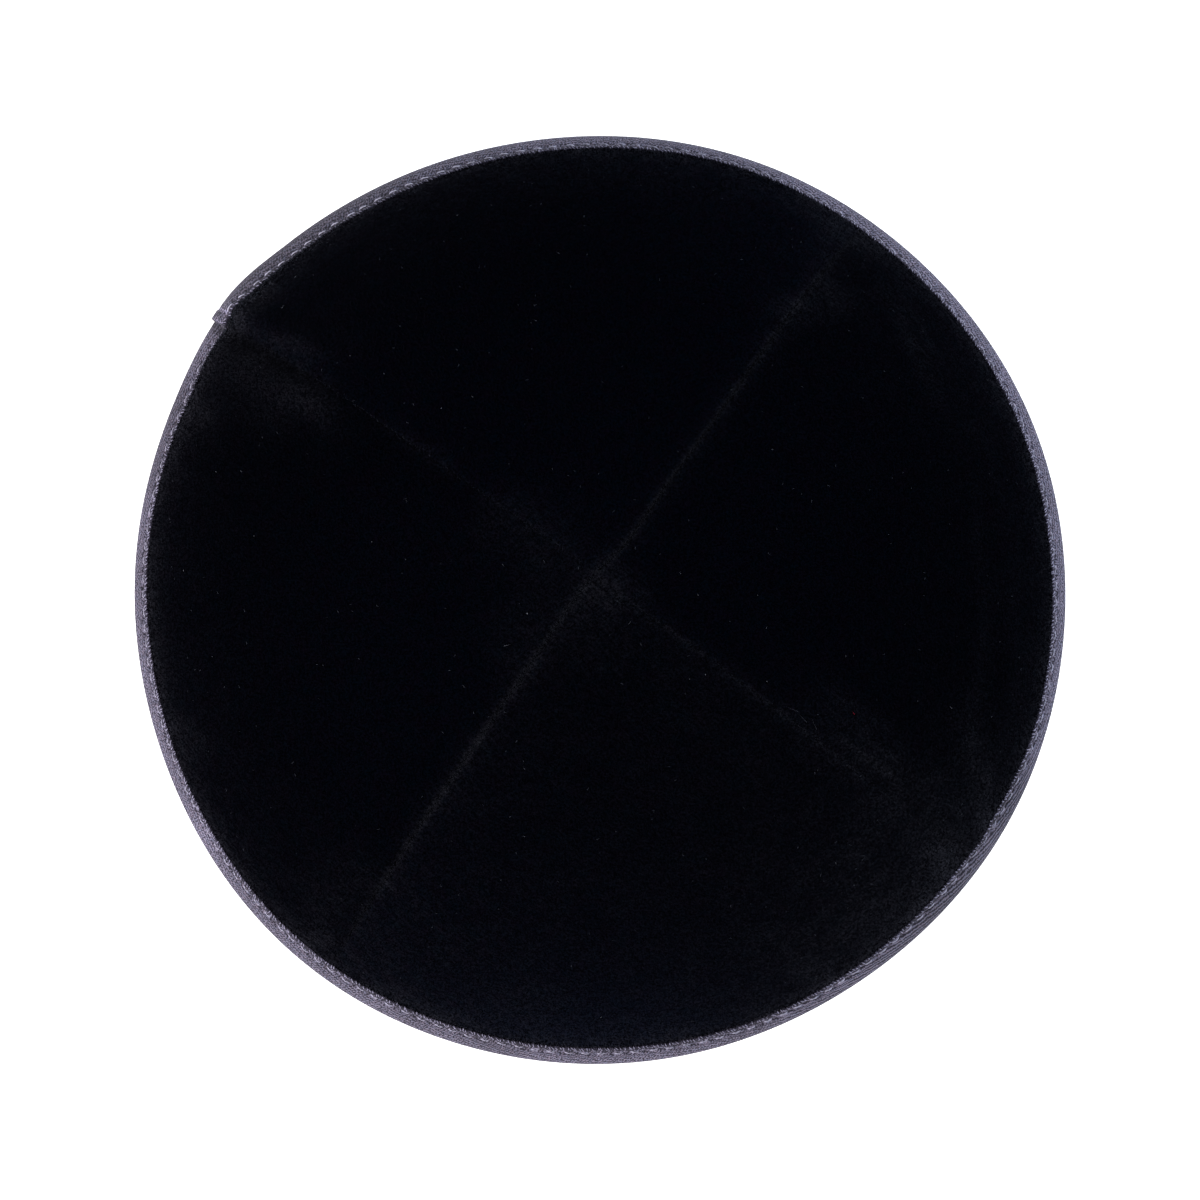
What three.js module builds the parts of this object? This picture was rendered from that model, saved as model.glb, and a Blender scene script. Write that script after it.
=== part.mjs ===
// A round four-panel cap of cotton velvet. Four wedges of cloth are sewn together along four seams that
// meet at the crown, and a woven tape, folded over the raw edge and topstitched, runs round the rim. The
// tape's two ends are lapped and stitched on each other at one seam, so the tape is one ring with a raised lap.
// Millimetres, +Z up. The cap stands on its tape at z = 0, and angles run anticlockwise from +X as seen
// from above.
import * as THREE from 'three';

// The dome of cloth
const RIM_RADIUS = 90.3; // outside of the cloth where it would meet the table
const CROWN_HEIGHT = 50;
const CLOTH_WALL = 2; // velvet, its backing and the pressed pile
const SEAM_GAP = 0.3; // free space between two panels along a seam
const SEAM_ROLL = { width: 1.3, depth: 0.55 }; // the cloth's rounded shoulder beside a seam
const PANEL_FLATNESS = 1.1; // how far the middle of a panel lies under the seams halfway up, in mm each way
const CROWN_TWIST = { degrees: -5, reach: 26 }; // the seams swing a little where they meet

// The tape
const TAPE_WALL = 1;
const TAPE_INSIDE_LEG = 5.4; // how far the tape reaches up the inside
const TAPE_GAP = 0.3; // between the tape and the cloth that it holds
const PILE_PRESS = 0.6; // how far the tape sinks into the face of the cloth
const BACK_PLAY = 0.2; // between the back of the cloth and the line that the inside leg is drawn from
const CLOTH_SEAT = 1.4; // how far up the bottom of the tape's fold lies, where the cloth's edge ends
const SEAT_CORNER = { up: 0.6, outside: 0.3, inside: 0.2 }; // the fold narrows to its bottom
const CLOTH_LIFT = 0.05; // the cloth's edge over the gap at the bottom of the fold
const CLOTH_SQUEEZE = 0.1; // more of the face given up where the tape holds it
const SWELL = { from: 0.1, to: 1.2 }; // past the tape's edge the cloth swells out to its full wall
const TAPE_STATIONS = 96;
const FOOT_ROUND = 0.6; // the tape's foot is narrower than its section by this on each side
const LEG_EASE = { up: 1.2, depth: 0.1, fullFrom: 3.2 }; // the outside leg comes out to its full thickness
const STITCH_GROOVE = { below: 1.2, depth: 0.2 }; // the topstitches pull the tape in, below its edge
const EDGE_LIP = { below: 0.4, shoulder: 0.02, depth: 0.35 }; // the edge stands up again and rounds off
const INSIDE_LIP = 0.15; // the inside leg thins at its edge
const INSIDE_LEG_FROM = 2.4; // the inside leg runs straight from here up
const FOLD_MIDDLE = 3.6; // one more point up the inside of the outside leg, so that it follows the dome
// The lap, in degrees round the rim, and its heights in mm. The upper end stops in a step at `end`, and no
// even station of the ring is kept within `clear` of that step.
const LAP = {
  start: 131,
  full: 141,
  end: 144.3,
  step: 0.17,
  clear: 0.8,
  underEnd: 157,
  height: 0.95,
  under: 0.15,
};

// The seams: where each one leaves the crown, in degrees
const SEAMS = { right_back: 54.4, back_left: 143.8, left_front: 234.4, front_right: 323.8 };
// The seam between the right and the back panel lies a little to the right of its line.
// Distances are from the crown, in mm.
const SEAM_SWAY = { seam: SEAMS.right_back, mm: 1, fullFrom: 9, fadesFrom: 30, fadesTo: 75 };

const PANELS = [
  { name: 'panel_back', from: SEAMS.right_back, to: SEAMS.back_left },
  { name: 'panel_left', from: SEAMS.back_left, to: SEAMS.left_front },
  { name: 'panel_front', from: SEAMS.left_front, to: SEAMS.front_right },
  { name: 'panel_right', from: SEAMS.front_right, to: SEAMS.right_back + 360 },
];

// The rim is not a true circle: each row is one wave round it, largest at `peak` degrees.
const OUTLINE_WAVES = [
  { count: 3, mm: 0.37, peak: 10.2 },
  { count: 4, mm: 0.19, peak: -37.7 },
  { count: 7, mm: 0.12, peak: 22.1 },
];
const LAP_BULGE = { angle: 140, width: 13, mm: 1.2 }; // the thick lap pushes the rim out there

// How far the tape reaches up the outside, in mm, at each angle round the rim.
const TAPE_REACH = [
  { angle: 20, mm: 5.7 },
  { angle: 52, mm: 6.5 },
  { angle: 74, mm: 5.7 },
  { angle: 98, mm: 6.1 },
  { angle: 124, mm: 7.3 },
  { angle: 140, mm: 7.3 },
  { angle: 150, mm: 6.1 },
  { angle: 170, mm: 5.4 },
  { angle: 200, mm: 5.4 },
  { angle: 216, mm: 5.9 },
  { angle: 244, mm: 6.1 },
  { angle: 268, mm: 5.8 },
  { angle: 292, mm: 5.1 },
  { angle: 326, mm: 6.7 },
  { angle: 345, mm: 5.2 },
];

// Folds in the cloth: soft ridges (+) and valleys (-), each from one place to another.
// `up` is the way up the cloth from the rim, `width` the half width and `height` the rise, all in mm.
const FOLDS = [
  { name: 'ridge over the left seam', angle: 141.6, up: 6, toAngle: 139.4, toUp: 34, width: 3, height: 0.9 },
  { name: 'ridge under the left seam', angle: 147.6, up: 11, toAngle: 147.2, toUp: 44, width: 3.4, height: 0.8 },
  { name: 'valley of the left seam', angle: 144.2, up: 10, toAngle: 143.8, toUp: 40, width: 2.4, height: -0.5 },
  { name: 'dent at the left rim', angle: 154.5, up: 9, toAngle: 156, toUp: 15, width: 4, height: -0.5 },
  { name: 'pad over the right seam', angle: 330, up: 60, toAngle: 329.5, toUp: 36, width: 5, height: 0.6 },
  { name: 'rumple at the right rim', angle: 326.6, up: 24, toAngle: 327, toUp: 9, width: 4, height: 0.7 },
  { name: 'lower right side crease', angle: 333.5, up: 15, toAngle: 350, toUp: 17.5, width: 3, height: 0.5 },
  { name: 'upper right side crease', angle: 350, up: 17.5, toAngle: 15, toUp: 19.5, width: 3, height: 0.4 },
  { name: 'crease by the upper seam', angle: 47, up: 15, toAngle: 32, toUp: 22, width: 3, height: 0.5 },
  { name: 'gather at the crown', angle: 0, up: 107, toAngle: 180, toUp: 107, width: 9, height: 0.5 },
];

// Columns beside a seam: distance from the panel's edge in mm, or a share of the panel's width
// where it is narrow.
const EDGE_COLUMNS = [
  { mm: 0, share: 0 },
  { mm: 0.45, share: 0.03 },
  { mm: 1.3, share: 0.07 },
  { mm: 3.2, share: 0.12 },
  { mm: 5.6, share: 0.18 },
  { mm: 8.4, share: 0.25 },
];
const MIDDLE_COLUMNS = 13; // spaces between the two sets of edge columns
// Heights that set the width of the three lowest rows, which follow the tape.
const LOW_ROWS = { inFold: 1.75, atTape: 6.2, pastTape: 7.4 };
const ROW_HEIGHTS = [10.5, 15, 20, 25.5, 31.5, 38, 45, 52.5, 60.5, 68.5, 76.5, 84, 91, 97, 101.5, 104.8, 106.6];

const domeRadius = (RIM_RADIUS ** 2 + CROWN_HEIGHT ** 2) / (2 * CROWN_HEIGHT);
const domeCentre = CROWN_HEIGHT - domeRadius;
const rimSlope = Math.asin(RIM_RADIUS / domeRadius);
const domeArc = domeRadius * rimSlope; // along the cloth from the rim to the crown

const radians = THREE.MathUtils.degToRad;
const { smoothstep } = THREE.MathUtils;

function outlineWave(angle) {
  const fromLap = THREE.MathUtils.euclideanModulo(angle - LAP_BULGE.angle + 180, 360) - 180;
  const bulge = LAP_BULGE.mm * Math.exp(-((fromLap / LAP_BULGE.width) ** 2));
  const waveAt = (wave) => wave.mm * Math.cos(wave.count * radians(angle - wave.peak));
  return OUTLINE_WAVES.reduce((sum, wave) => sum + waveAt(wave), bulge);
}

// A seam's direction from the crown at a height up the cloth, with its small swing at the crown and its sway.
function seamAngle(base, up) {
  const fromCrown = domeArc - up;
  const near = Math.max(0, 1 - fromCrown / CROWN_TWIST.reach);
  const swung = base + CROWN_TWIST.degrees * near ** 2;
  if (Math.abs(THREE.MathUtils.euclideanModulo(base, 360) - SEAM_SWAY.seam) > 0.01) return swung;
  const radius = domeRadius * Math.sin(Math.max(fromCrown, 0.01) / domeRadius);
  const grown = smoothstep(fromCrown, 0, SEAM_SWAY.fullFrom);
  const shown = grown * (1 - smoothstep(fromCrown, SEAM_SWAY.fadesFrom, SEAM_SWAY.fadesTo));
  return swung - THREE.MathUtils.radToDeg((SEAM_SWAY.mm * shown) / radius);
}

// A place on the cloth laid out flat, with the crown at the middle.
function laidFlat(angle, up) {
  const fromCrown = domeArc - up;
  return new THREE.Vector2(fromCrown * Math.cos(radians(angle)), fromCrown * Math.sin(radians(angle)));
}

const foldLines = FOLDS.map((fold) => ({
  ...fold,
  start: laidFlat(fold.angle, fold.up),
  along: laidFlat(fold.toAngle, fold.toUp).sub(laidFlat(fold.angle, fold.up)),
}));

function foldHeight(angle, up) {
  const place = laidFlat(angle, up);
  let height = 0;
  for (const fold of foldLines) {
    const offset = place.clone().sub(fold.start);
    const share = THREE.MathUtils.clamp(offset.dot(fold.along) / fold.along.lengthSq(), 0, 1);
    const distance = offset.addScaledVector(fold.along, -share).length();
    height += fold.height * Math.exp(-((distance / fold.width) ** 2));
  }
  return height;
}

// Four flat wedges sewn together keep a hint of four corners, most of it halfway up.
function fourCorners(angle, up) {
  const corner = (Object.values(SEAMS).reduce((sum, seam) => sum + seam, 0) - 540) / 4;
  const share = Math.sin(Math.PI * THREE.MathUtils.clamp(up / domeArc, 0, 1));
  return PANEL_FLATNESS * share * Math.cos(4 * radians(angle - corner));
}

// A point of the cap: its angle, its way up the cloth from the rim, and how far it lies outside
// the cloth's face.
function capPoint(angle, up, out) {
  const slope = rimSlope - up / domeRadius;
  const reach = domeRadius + out + foldHeight(angle, up) + fourCorners(angle, up);
  const radius = reach * Math.sin(slope) + outlineWave(angle) * (slope / rimSlope) ** 2;
  return new THREE.Vector3(
    radius * Math.cos(radians(angle)),
    radius * Math.sin(radians(angle)),
    domeCentre + reach * Math.cos(slope),
  );
}

// Where the tape stands on the table: the same section point, brought down to z = 0.
function footPoint(angle, out) {
  const slope = Math.acos(-domeCentre / (domeRadius + out));
  const point = capPoint(angle, (rimSlope - slope) * domeRadius, out);
  return point.setZ(0);
}

// One closed body from rings of points. Each ring runs along one face and back along the other.
// The last ring joins the first, or both ends are closed straight across the wall.
function closedBody(rings, joinEnds) {
  const positions = [];
  const numbers = new Map();
  const numberOf = (point) => {
    const key = point.toArray().map((value) => Math.round(value * 1000)).join();
    if (!numbers.has(key)) {
      numbers.set(key, positions.length / 3);
      positions.push(...point.toArray());
    }
    return numbers.get(key);
  };
  const rows = rings.map((ring) => ring.map(numberOf));
  const indices = [];
  const triangle = (a, b, c) => {
    if (a !== b && b !== c && c !== a) indices.push(a, b, c);
  };
  const quad = (a, b, c, d) => {
    triangle(a, b, c);
    triangle(a, c, d);
  };
  const count = rings[0].length;
  const spans = joinEnds ? rows.length : rows.length - 1;
  for (let row = 0; row < spans; row += 1) {
    const here = rows[row];
    const next = rows[(row + 1) % rows.length];
    for (let i = 0; i < count; i += 1) {
      const j = (i + 1) % count;
      quad(here[i], here[j], next[j], next[i]);
    }
  }
  if (!joinEnds) {
    const last = rows[rows.length - 1];
    for (let i = 0; i < count / 2 - 1; i += 1) {
      quad(rows[0][count - 1 - i], rows[0][count - 2 - i], rows[0][i + 1], rows[0][i]);
      quad(last[i], last[i + 1], last[count - 2 - i], last[count - 1 - i]);
    }
  }
  const geometry = new THREE.BufferGeometry();
  geometry.setAttribute('position', new THREE.Float32BufferAttribute(positions, 3));
  geometry.setIndex(indices);
  if (signedVolume(geometry) < 0) {
    geometry.setIndex(indices.reverse());
  }
  geometry.computeVertexNormals();
  return geometry;
}

function signedVolume(geometry) {
  const position = geometry.getAttribute('position');
  const index = geometry.getIndex();
  const corner = [new THREE.Vector3(), new THREE.Vector3(), new THREE.Vector3()];
  let volume = 0;
  for (let i = 0; i < index.count; i += 3) {
    corner.forEach((point, k) => point.fromBufferAttribute(position, index.getX(i + k)));
    volume += corner[0].dot(corner[1].clone().cross(corner[2])) / 6;
  }
  return volume;
}

// How far the tape reaches up the outside at an angle, eased between the rows of its table.
function tapeReach(angle) {
  const turned = ((angle % 360) + 360) % 360;
  const rows = [...TAPE_REACH, { ...TAPE_REACH[0], angle: TAPE_REACH[0].angle + 360 }];
  const place = turned < rows[0].angle ? turned + 360 : turned;
  const next = rows.findIndex((row) => row.angle > place);
  const [before, after] = [rows[next - 1], rows[next]];
  return before.mm + (after.mm - before.mm) * smoothstep(place, before.angle, after.angle);
}

// Extra thickness of the outside leg where the tape's upper end lies on its lower end.
function lapHeight(angle) {
  if (angle <= LAP.end) return LAP.height * smoothstep(angle, LAP.start, LAP.full);
  return LAP.under * (1 - smoothstep(angle, LAP.end, LAP.underEnd));
}

// The tape's section: round the outside leg, over its stitched edge and back under it, round the cloth's edge,
// and round the inside leg to the table.
function tapeSection(angle) {
  const reach = tapeReach(angle);
  const lap = lapHeight(angle);
  const outer = TAPE_WALL - PILE_PRESS;
  const cloth = { face: -PILE_PRESS, back: -CLOTH_WALL - BACK_PLAY };
  const inner = cloth.back - TAPE_WALL;
  const straightFrom = CLOTH_SEAT + SEAT_CORNER.up;
  const foot = [footPoint(angle, inner + FOOT_ROUND), footPoint(angle, outer - FOOT_ROUND + lap)];
  const rest = [
    { up: LEG_EASE.up, out: outer - LEG_EASE.depth + lap },
    { up: LEG_EASE.fullFrom, out: outer + lap },
    { up: reach - STITCH_GROOVE.below, out: outer - STITCH_GROOVE.depth + lap },
    { up: reach - EDGE_LIP.below, out: outer - EDGE_LIP.shoulder + lap },
    { up: reach, out: outer - EDGE_LIP.depth + lap },
    { up: reach, out: cloth.face },
    { up: FOLD_MIDDLE, out: cloth.face },
    { up: straightFrom, out: cloth.face },
    { up: CLOTH_SEAT, out: cloth.face - SEAT_CORNER.outside },
    { up: CLOTH_SEAT, out: cloth.back + SEAT_CORNER.inside },
    { up: straightFrom, out: cloth.back },
    { up: TAPE_INSIDE_LEG, out: cloth.back },
    { up: TAPE_INSIDE_LEG, out: inner + INSIDE_LIP },
    { up: INSIDE_LEG_FROM, out: inner },
  ].map(({ up, out }) => capPoint(angle, up, out));
  return [...foot, ...rest];
}

function tapeAngles() {
  const even = Array.from({ length: TAPE_STATIONS }, (_, i) => (i * 360) / TAPE_STATIONS);
  const lap = [LAP.end, LAP.end + LAP.step];
  const clear = even.filter((angle) => lap.every((edge) => Math.abs(edge - angle) > LAP.clear));
  return [...clear, ...lap].sort((a, b) => a - b);
}

// How deep the face lies beside a seam, where the cloth turns down into it.
function seamRoll(fromEdge) {
  return SEAM_ROLL.depth * Math.max(0, 1 - fromEdge / SEAM_ROLL.width) ** 2;
}

function columnPlaces(width) {
  const edge = EDGE_COLUMNS.map(({ mm, share }) => Math.min(mm, share * width));
  const inset = edge[edge.length - 1];
  const middle = Array.from(
    { length: MIDDLE_COLUMNS - 1 },
    (_, i) => inset + ((width - 2 * inset) * (i + 1)) / MIDDLE_COLUMNS,
  );
  return [...edge, ...middle, ...edge.map((mm) => width - mm).reverse()];
}

// One row of the wall at a height up the cloth: along the face from seam to seam, then back along the back.
// `layer` gives the height, face and back at an angle, because the lowest rows follow the tape.
function panelRing(panel, nominalUp, layer) {
  const slope = rimSlope - nominalUp / domeRadius;
  const radius = domeRadius * Math.sin(slope);
  const gap = Math.asin(Math.min(1, SEAM_GAP / 2 / radius));
  const first = radians(seamAngle(panel.from, nominalUp)) + gap;
  const last = radians(seamAngle(panel.to, nominalUp)) - gap;
  const width = Math.max(0, (last - first) * radius);
  const face = [];
  const back = [];
  for (const place of columnPlaces(width)) {
    const angle = THREE.MathUtils.radToDeg(first + place / radius);
    const { up, faceOut, backOut } = layer(angle);
    const roll = up > tapeReach(angle) + SWELL.from ? seamRoll(Math.min(place, width - place)) : 0;
    face.push(capPoint(angle, up, faceOut - roll));
    back.push(capPoint(angle, up, backOut));
  }
  return [...face, ...back.reverse()];
}

function panelBody(panel) {
  const pinched = {
    faceOut: -PILE_PRESS - TAPE_GAP - CLOTH_SQUEEZE,
    backOut: -CLOTH_WALL - BACK_PLAY + TAPE_GAP,
  };
  const full = { faceOut: 0, backOut: -CLOTH_WALL };
  const edge = CLOTH_SEAT + TAPE_GAP + CLOTH_LIFT;
  const rings = [
    panelRing(panel, LOW_ROWS.inFold, () => ({ up: edge, ...pinched })),
    panelRing(panel, LOW_ROWS.atTape, (angle) => ({ up: tapeReach(angle) + SWELL.from, ...pinched })),
    panelRing(panel, LOW_ROWS.pastTape, (angle) => ({ up: tapeReach(angle) + SWELL.to, ...full })),
  ];
  for (const up of ROW_HEIGHTS) {
    rings.push(panelRing(panel, up, () => ({ up, ...full })));
  }
  const tipRadius = SEAM_GAP / 2 / Math.sin(radians(panel.to - panel.from) / 2);
  const tipUp = domeArc - tipRadius;
  const tipAngle = (seamAngle(panel.from, tipUp) + seamAngle(panel.to, tipUp)) / 2;
  const face = capPoint(tipAngle, tipUp, -SEAM_ROLL.depth);
  const back = capPoint(tipAngle, tipUp, -CLOTH_WALL);
  const half = rings[0].length / 2;
  rings.push([...Array(half).fill(face), ...Array(half).fill(back)]);
  return closedBody(rings, false);
}

function cloth(name, color, roughness) {
  return new THREE.MeshStandardMaterial({ name, color, roughness, metalness: 0 });
}

const velvet = cloth('cotton velvet', 0x090a10, 0.95);
const tape = cloth('woven tape', 0x646175, 0.9);

const group = new THREE.Group();
for (const panel of PANELS) {
  const mesh = new THREE.Mesh(panelBody(panel), velvet.clone());
  mesh.name = panel.name;
  group.add(mesh);
}
const binding = new THREE.Mesh(closedBody(tapeAngles().map(tapeSection), true), tape);
binding.name = 'rim_binding';
group.add(binding);

// The origin lies under the middle of the cap.
const middle = new THREE.Box3().setFromObject(group).getCenter(new THREE.Vector3());
group.position.set(-middle.x, -middle.y, 0);

export default group;
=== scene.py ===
# %% [markdown]
# # A velvet kippah with a woven tape round its rim
# The cap is four wedges of black-blue cotton velvet, sewn together along seams that cross at the crown. A
# grey-violet twill tape is folded over the raw edge and topstitched. The CAD model gives the walls and the
# tape as plain solids. This script dresses them: the pile with its pressed marks and painted sheen, the
# rolled seams, the weave, the lapped tape ends with their painted highlights and shadows, the stitches, loose
# fibres, and a soft studio that sees the cap from above.

import bmesh
import bpy
import numpy as np
from mathutils import Matrix, Vector


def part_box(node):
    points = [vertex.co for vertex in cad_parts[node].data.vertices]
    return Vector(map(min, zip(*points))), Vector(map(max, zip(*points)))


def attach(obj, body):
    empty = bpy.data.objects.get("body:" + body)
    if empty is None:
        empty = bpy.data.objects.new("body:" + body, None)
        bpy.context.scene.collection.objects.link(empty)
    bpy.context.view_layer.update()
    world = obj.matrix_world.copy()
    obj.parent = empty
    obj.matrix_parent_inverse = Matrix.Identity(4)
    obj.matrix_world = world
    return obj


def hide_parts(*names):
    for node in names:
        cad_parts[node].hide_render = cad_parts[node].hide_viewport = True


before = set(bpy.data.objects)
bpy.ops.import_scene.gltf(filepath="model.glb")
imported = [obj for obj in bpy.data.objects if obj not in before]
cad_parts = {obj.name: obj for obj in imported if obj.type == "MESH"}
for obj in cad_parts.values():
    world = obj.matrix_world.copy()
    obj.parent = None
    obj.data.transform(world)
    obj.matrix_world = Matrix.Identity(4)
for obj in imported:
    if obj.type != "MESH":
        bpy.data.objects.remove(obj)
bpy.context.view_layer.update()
print("CAD nodes:", sorted(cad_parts))

# %% [markdown]
# ## The form of the cap
# A cap like this is close to a slice of a ball, 180 mm across and 50 mm high. A place on it is given by
# its angle round the crown (degrees, anticlockwise from +X), by how far up the cloth it lies from the rim
# (mm along the cloth), and by how far it stands out from the cloth's face (mm). All pieces use these three
# numbers, so the tape always follows the cloth. Whole arrays of places are worked out at once.

# %% Sizes in millimetres, and the tables of waves and folds
RIM_RADIUS = 90.3
CROWN_HEIGHT = 50.0
CLOTH_WALL = 2.0
PANEL_FLATNESS = 1.1
CROWN_TWIST, TWIST_REACH = -5.0, 26.0
SEAM_SWAY = (54.4, 1.0, 9, 30, 75)  # which seam, how far to the right in mm, full from 9 to 30 mm, gone at 75

DOME_RADIUS = (RIM_RADIUS**2 + CROWN_HEIGHT**2) / (2 * CROWN_HEIGHT)
DOME_CENTRE = CROWN_HEIGHT - DOME_RADIUS
RIM_SLOPE = np.arcsin(RIM_RADIUS / DOME_RADIUS)
DOME_ARC = DOME_RADIUS * RIM_SLOPE

PANELS = [  # name, first seam, last seam (degrees)
    ("back", 54.4, 143.8),
    ("left", 143.8, 234.4),
    ("front", 234.4, 323.8),
    ("right", 323.8, 414.4),
]
OUTLINE_WAVES = [  # how many round the rim, mm, degrees of the peak
    (3, 0.37, 10.2),
    (4, 0.19, -37.7),
    (7, 0.12, 22.1),
]
BULGE_ANGLE, BULGE_WIDTH, BULGE_MM = 140.0, 13.0, 1.2  # the thick lap pushes the rim out
CORNER_TURN = np.radians(sum(row[1] for row in PANELS) / 4 - 135)  # the seams' mean turn off the diagonals
FOLDS = [  # what, angle and up of one end, angle and up of the other, half width, rise
    ("ridge over the left seam", 141.6, 6, 139.4, 34, 3.0, 0.9),
    ("ridge under the left seam", 147.6, 11, 147.2, 44, 3.4, 0.8),
    ("valley of the left seam", 144.2, 10, 143.8, 40, 2.4, -0.5),
    ("dent at the left rim", 154.5, 9, 156.0, 15, 4.0, -0.5),
    ("pad over the right seam", 330.0, 60, 329.5, 36, 5.0, 0.6),
    ("rumple at the right rim", 326.6, 24, 327.0, 9, 4.0, 0.7),
    ("lower right side crease", 333.5, 15, 350.0, 17.5, 3.0, 0.5),
    ("upper right side crease", 350.0, 17.5, 15.0, 19.5, 3.0, 0.4),
    ("crease by the upper seam", 47.0, 15, 32.0, 22, 3.0, 0.5),
    ("gather at the crown", 0.0, 107, 180.0, 107, 9.0, 0.5),
]
print("cloth from rim to crown, mm:", round(float(DOME_ARC), 1), "folds:", len(FOLDS))

# %% Where a place on the cap lies


def smooth(x, low, high):
    share = np.clip((np.asarray(x, float) - low) / (high - low), 0, 1)
    return share * share * (3 - 2 * share)


def laid_flat(angle, up):
    """A place on the cloth laid out flat round the crown, in mm."""
    turn = np.radians(angle)
    return (DOME_ARC - up) * np.cos(turn), (DOME_ARC - up) * np.sin(turn)


def stroke(angle, up, row_ends, width):
    """1 on the line between two places and falling softly to 0 beside it."""
    x, y = laid_flat(angle, up)
    x0, y0 = laid_flat(row_ends[0], row_ends[1])
    x1, y1 = laid_flat(row_ends[2], row_ends[3])
    dx, dy = x1 - x0, y1 - y0
    share = np.clip(((x - x0) * dx + (y - y0) * dy) / (dx * dx + dy * dy), 0, 1)
    return np.exp(-((x - x0 - share * dx) ** 2 + (y - y0 - share * dy) ** 2) / width**2)


def cap_point(angle, up, out):
    """Places on the cap as an array of x, y, z in mm."""
    angle, up, out = np.broadcast_arrays(*(np.asarray(v, float) for v in (angle, up, out)))
    turn = np.radians(angle)
    slope = RIM_SLOPE - up / DOME_RADIUS
    rise = sum(row[6] * stroke(angle, up, row[1:5], row[5]) for row in FOLDS)
    halfway = np.sin(np.pi * np.clip(up / DOME_ARC, 0, 1))
    rise = rise + PANEL_FLATNESS * halfway * np.cos(4 * (turn - CORNER_TURN))
    reach = DOME_RADIUS + out + rise
    wave = sum(mm * np.cos(count * (turn - np.radians(peak))) for count, mm, peak in OUTLINE_WAVES)
    wave = wave + BULGE_MM * np.exp(-((((angle - BULGE_ANGLE + 180) % 360 - 180) / BULGE_WIDTH) ** 2))
    radius = reach * np.sin(slope) + wave * (slope / RIM_SLOPE) ** 2
    height = DOME_CENTRE + reach * np.cos(slope)
    return np.stack([radius * np.cos(turn), radius * np.sin(turn), height], -1)


print("crown before the shift, mm:", cap_point(0, DOME_ARC, 0).round(2))

# %% Shift the form to the origin of the CAD model, which is under the middle of the cap
WIDEST_UP, WIDEST_OUT = 1.2, 0.3  # the tape's widest place
tape_low, tape_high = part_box("rim_binding")
around = cap_point(np.arange(0, 360, 0.25), WIDEST_UP, WIDEST_OUT)
form_middle = (around[:, :2].min(0) + around[:, :2].max(0)) / 2
cad_middle = np.array([(tape_low.x + tape_high.x) * 500, (tape_low.y + tape_high.y) * 500])
SHIFT = np.append(cad_middle - form_middle, 0.0)
print("shift to the CAD origin, mm:", SHIFT.round(2))


def to_metres(points):
    return (points + SHIFT) / 1000


# %% [markdown]
# ## The camera
# The photograph looks almost straight down: the crown sits a little above the middle of the rim, and the
# tape looks wider at the front than at the back. That fits a lens about 1 m away, leaning 4.5 degrees to
# the front. The frame takes in 232 mm at the rim, so the cap fills three quarters of it.

# %% Set up the camera
CAMERA_DISTANCE = 1.0
CAMERA_LEAN, CAMERA_SIDE = np.radians(4.5), np.radians(0.7)
FRAME_WIDTH = 0.23204
SENSOR_MM = 36.0
AIM = Vector((0.0001, -0.0006, 0.0))


def add_object(name, data):
    thing = bpy.data.objects.new(name, data)
    bpy.context.scene.collection.objects.link(thing)
    return thing


away = Vector((np.sin(CAMERA_SIDE), -np.sin(CAMERA_LEAN), np.cos(CAMERA_LEAN))).normalized()
camera_data = bpy.data.cameras.new("camera_over_the_cap")
camera_data.sensor_width = SENSOR_MM
camera_data.lens = SENSOR_MM * CAMERA_DISTANCE / FRAME_WIDTH
camera_data.clip_start = 0.05
camera = add_object("camera_over_the_cap", camera_data)
camera.location = AIM + away * CAMERA_DISTANCE
side = Vector((0, 1, 0)).cross(away).normalized()
head = away.cross(side)
turned = Matrix((side, head, away)).transposed()
camera.rotation_euler = turned.to_euler()
bpy.context.scene.camera = camera
print("lens, mm:", round(camera_data.lens, 1))

# %% [markdown]
# ## Small helpers for colour, nodes and meshes
# Colours are written as the sRGB hex values that a paint program shows. Shaders want linear light, so one
# function turns them. Another adds a node with its settings and its links in a single call; the kind of a
# shader node is written without the word ShaderNode. The last one ends a bmesh and gives its mesh.

# %% Helpers for materials and meshes


def linear(hex_colour):
    values = [int(hex_colour[i : i + 2], 16) / 255 for i in (1, 3, 5)]
    return [v / 12.92 if v <= 0.04045 else ((v + 0.055) / 1.055) ** 2.4 for v in values] + [1.0]


def add_node(tree, kind, settings=None, **inputs):
    """Adds a node, sets its properties, and fills its inputs with values or with links from sockets."""
    node = tree.nodes.new(kind if "Node" in kind else "ShaderNode" + kind)
    for name, value in (settings or {}).items():
        setattr(node, name, value)
    for name, value in inputs.items():
        key = int(name[1:]) if name[0] == "i" and name[1:].isdigit() else name.replace("_", " ")
        socket = node.inputs[key]
        if isinstance(value, bpy.types.NodeSocket):
            tree.links.new(value, socket)
        else:
            socket.default_value = value
    return node


def new_material(name):
    material = bpy.data.materials.new(name)
    material.use_nodes = True
    material.node_tree.nodes.clear()
    return material, material.node_tree


def mesh_of(name, bm):
    mesh = bpy.data.meshes.new(name)
    bm.to_mesh(mesh)
    bm.free()
    return mesh


print("mid grey in linear light:", [round(value, 3) for value in linear("#808080")])

# %% [markdown]
# ## The studio
# The photograph has a pure white ground and two soft lamps low at its sides: the tape is brightest at the
# lower left and, less so, at the right. The left lamp is a little warm and the right one a little cool. A
# big pale floor stands for the ground. It glows a little, as a lit table does, so that only a faint shadow
# is left where the rim stands on it.

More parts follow.
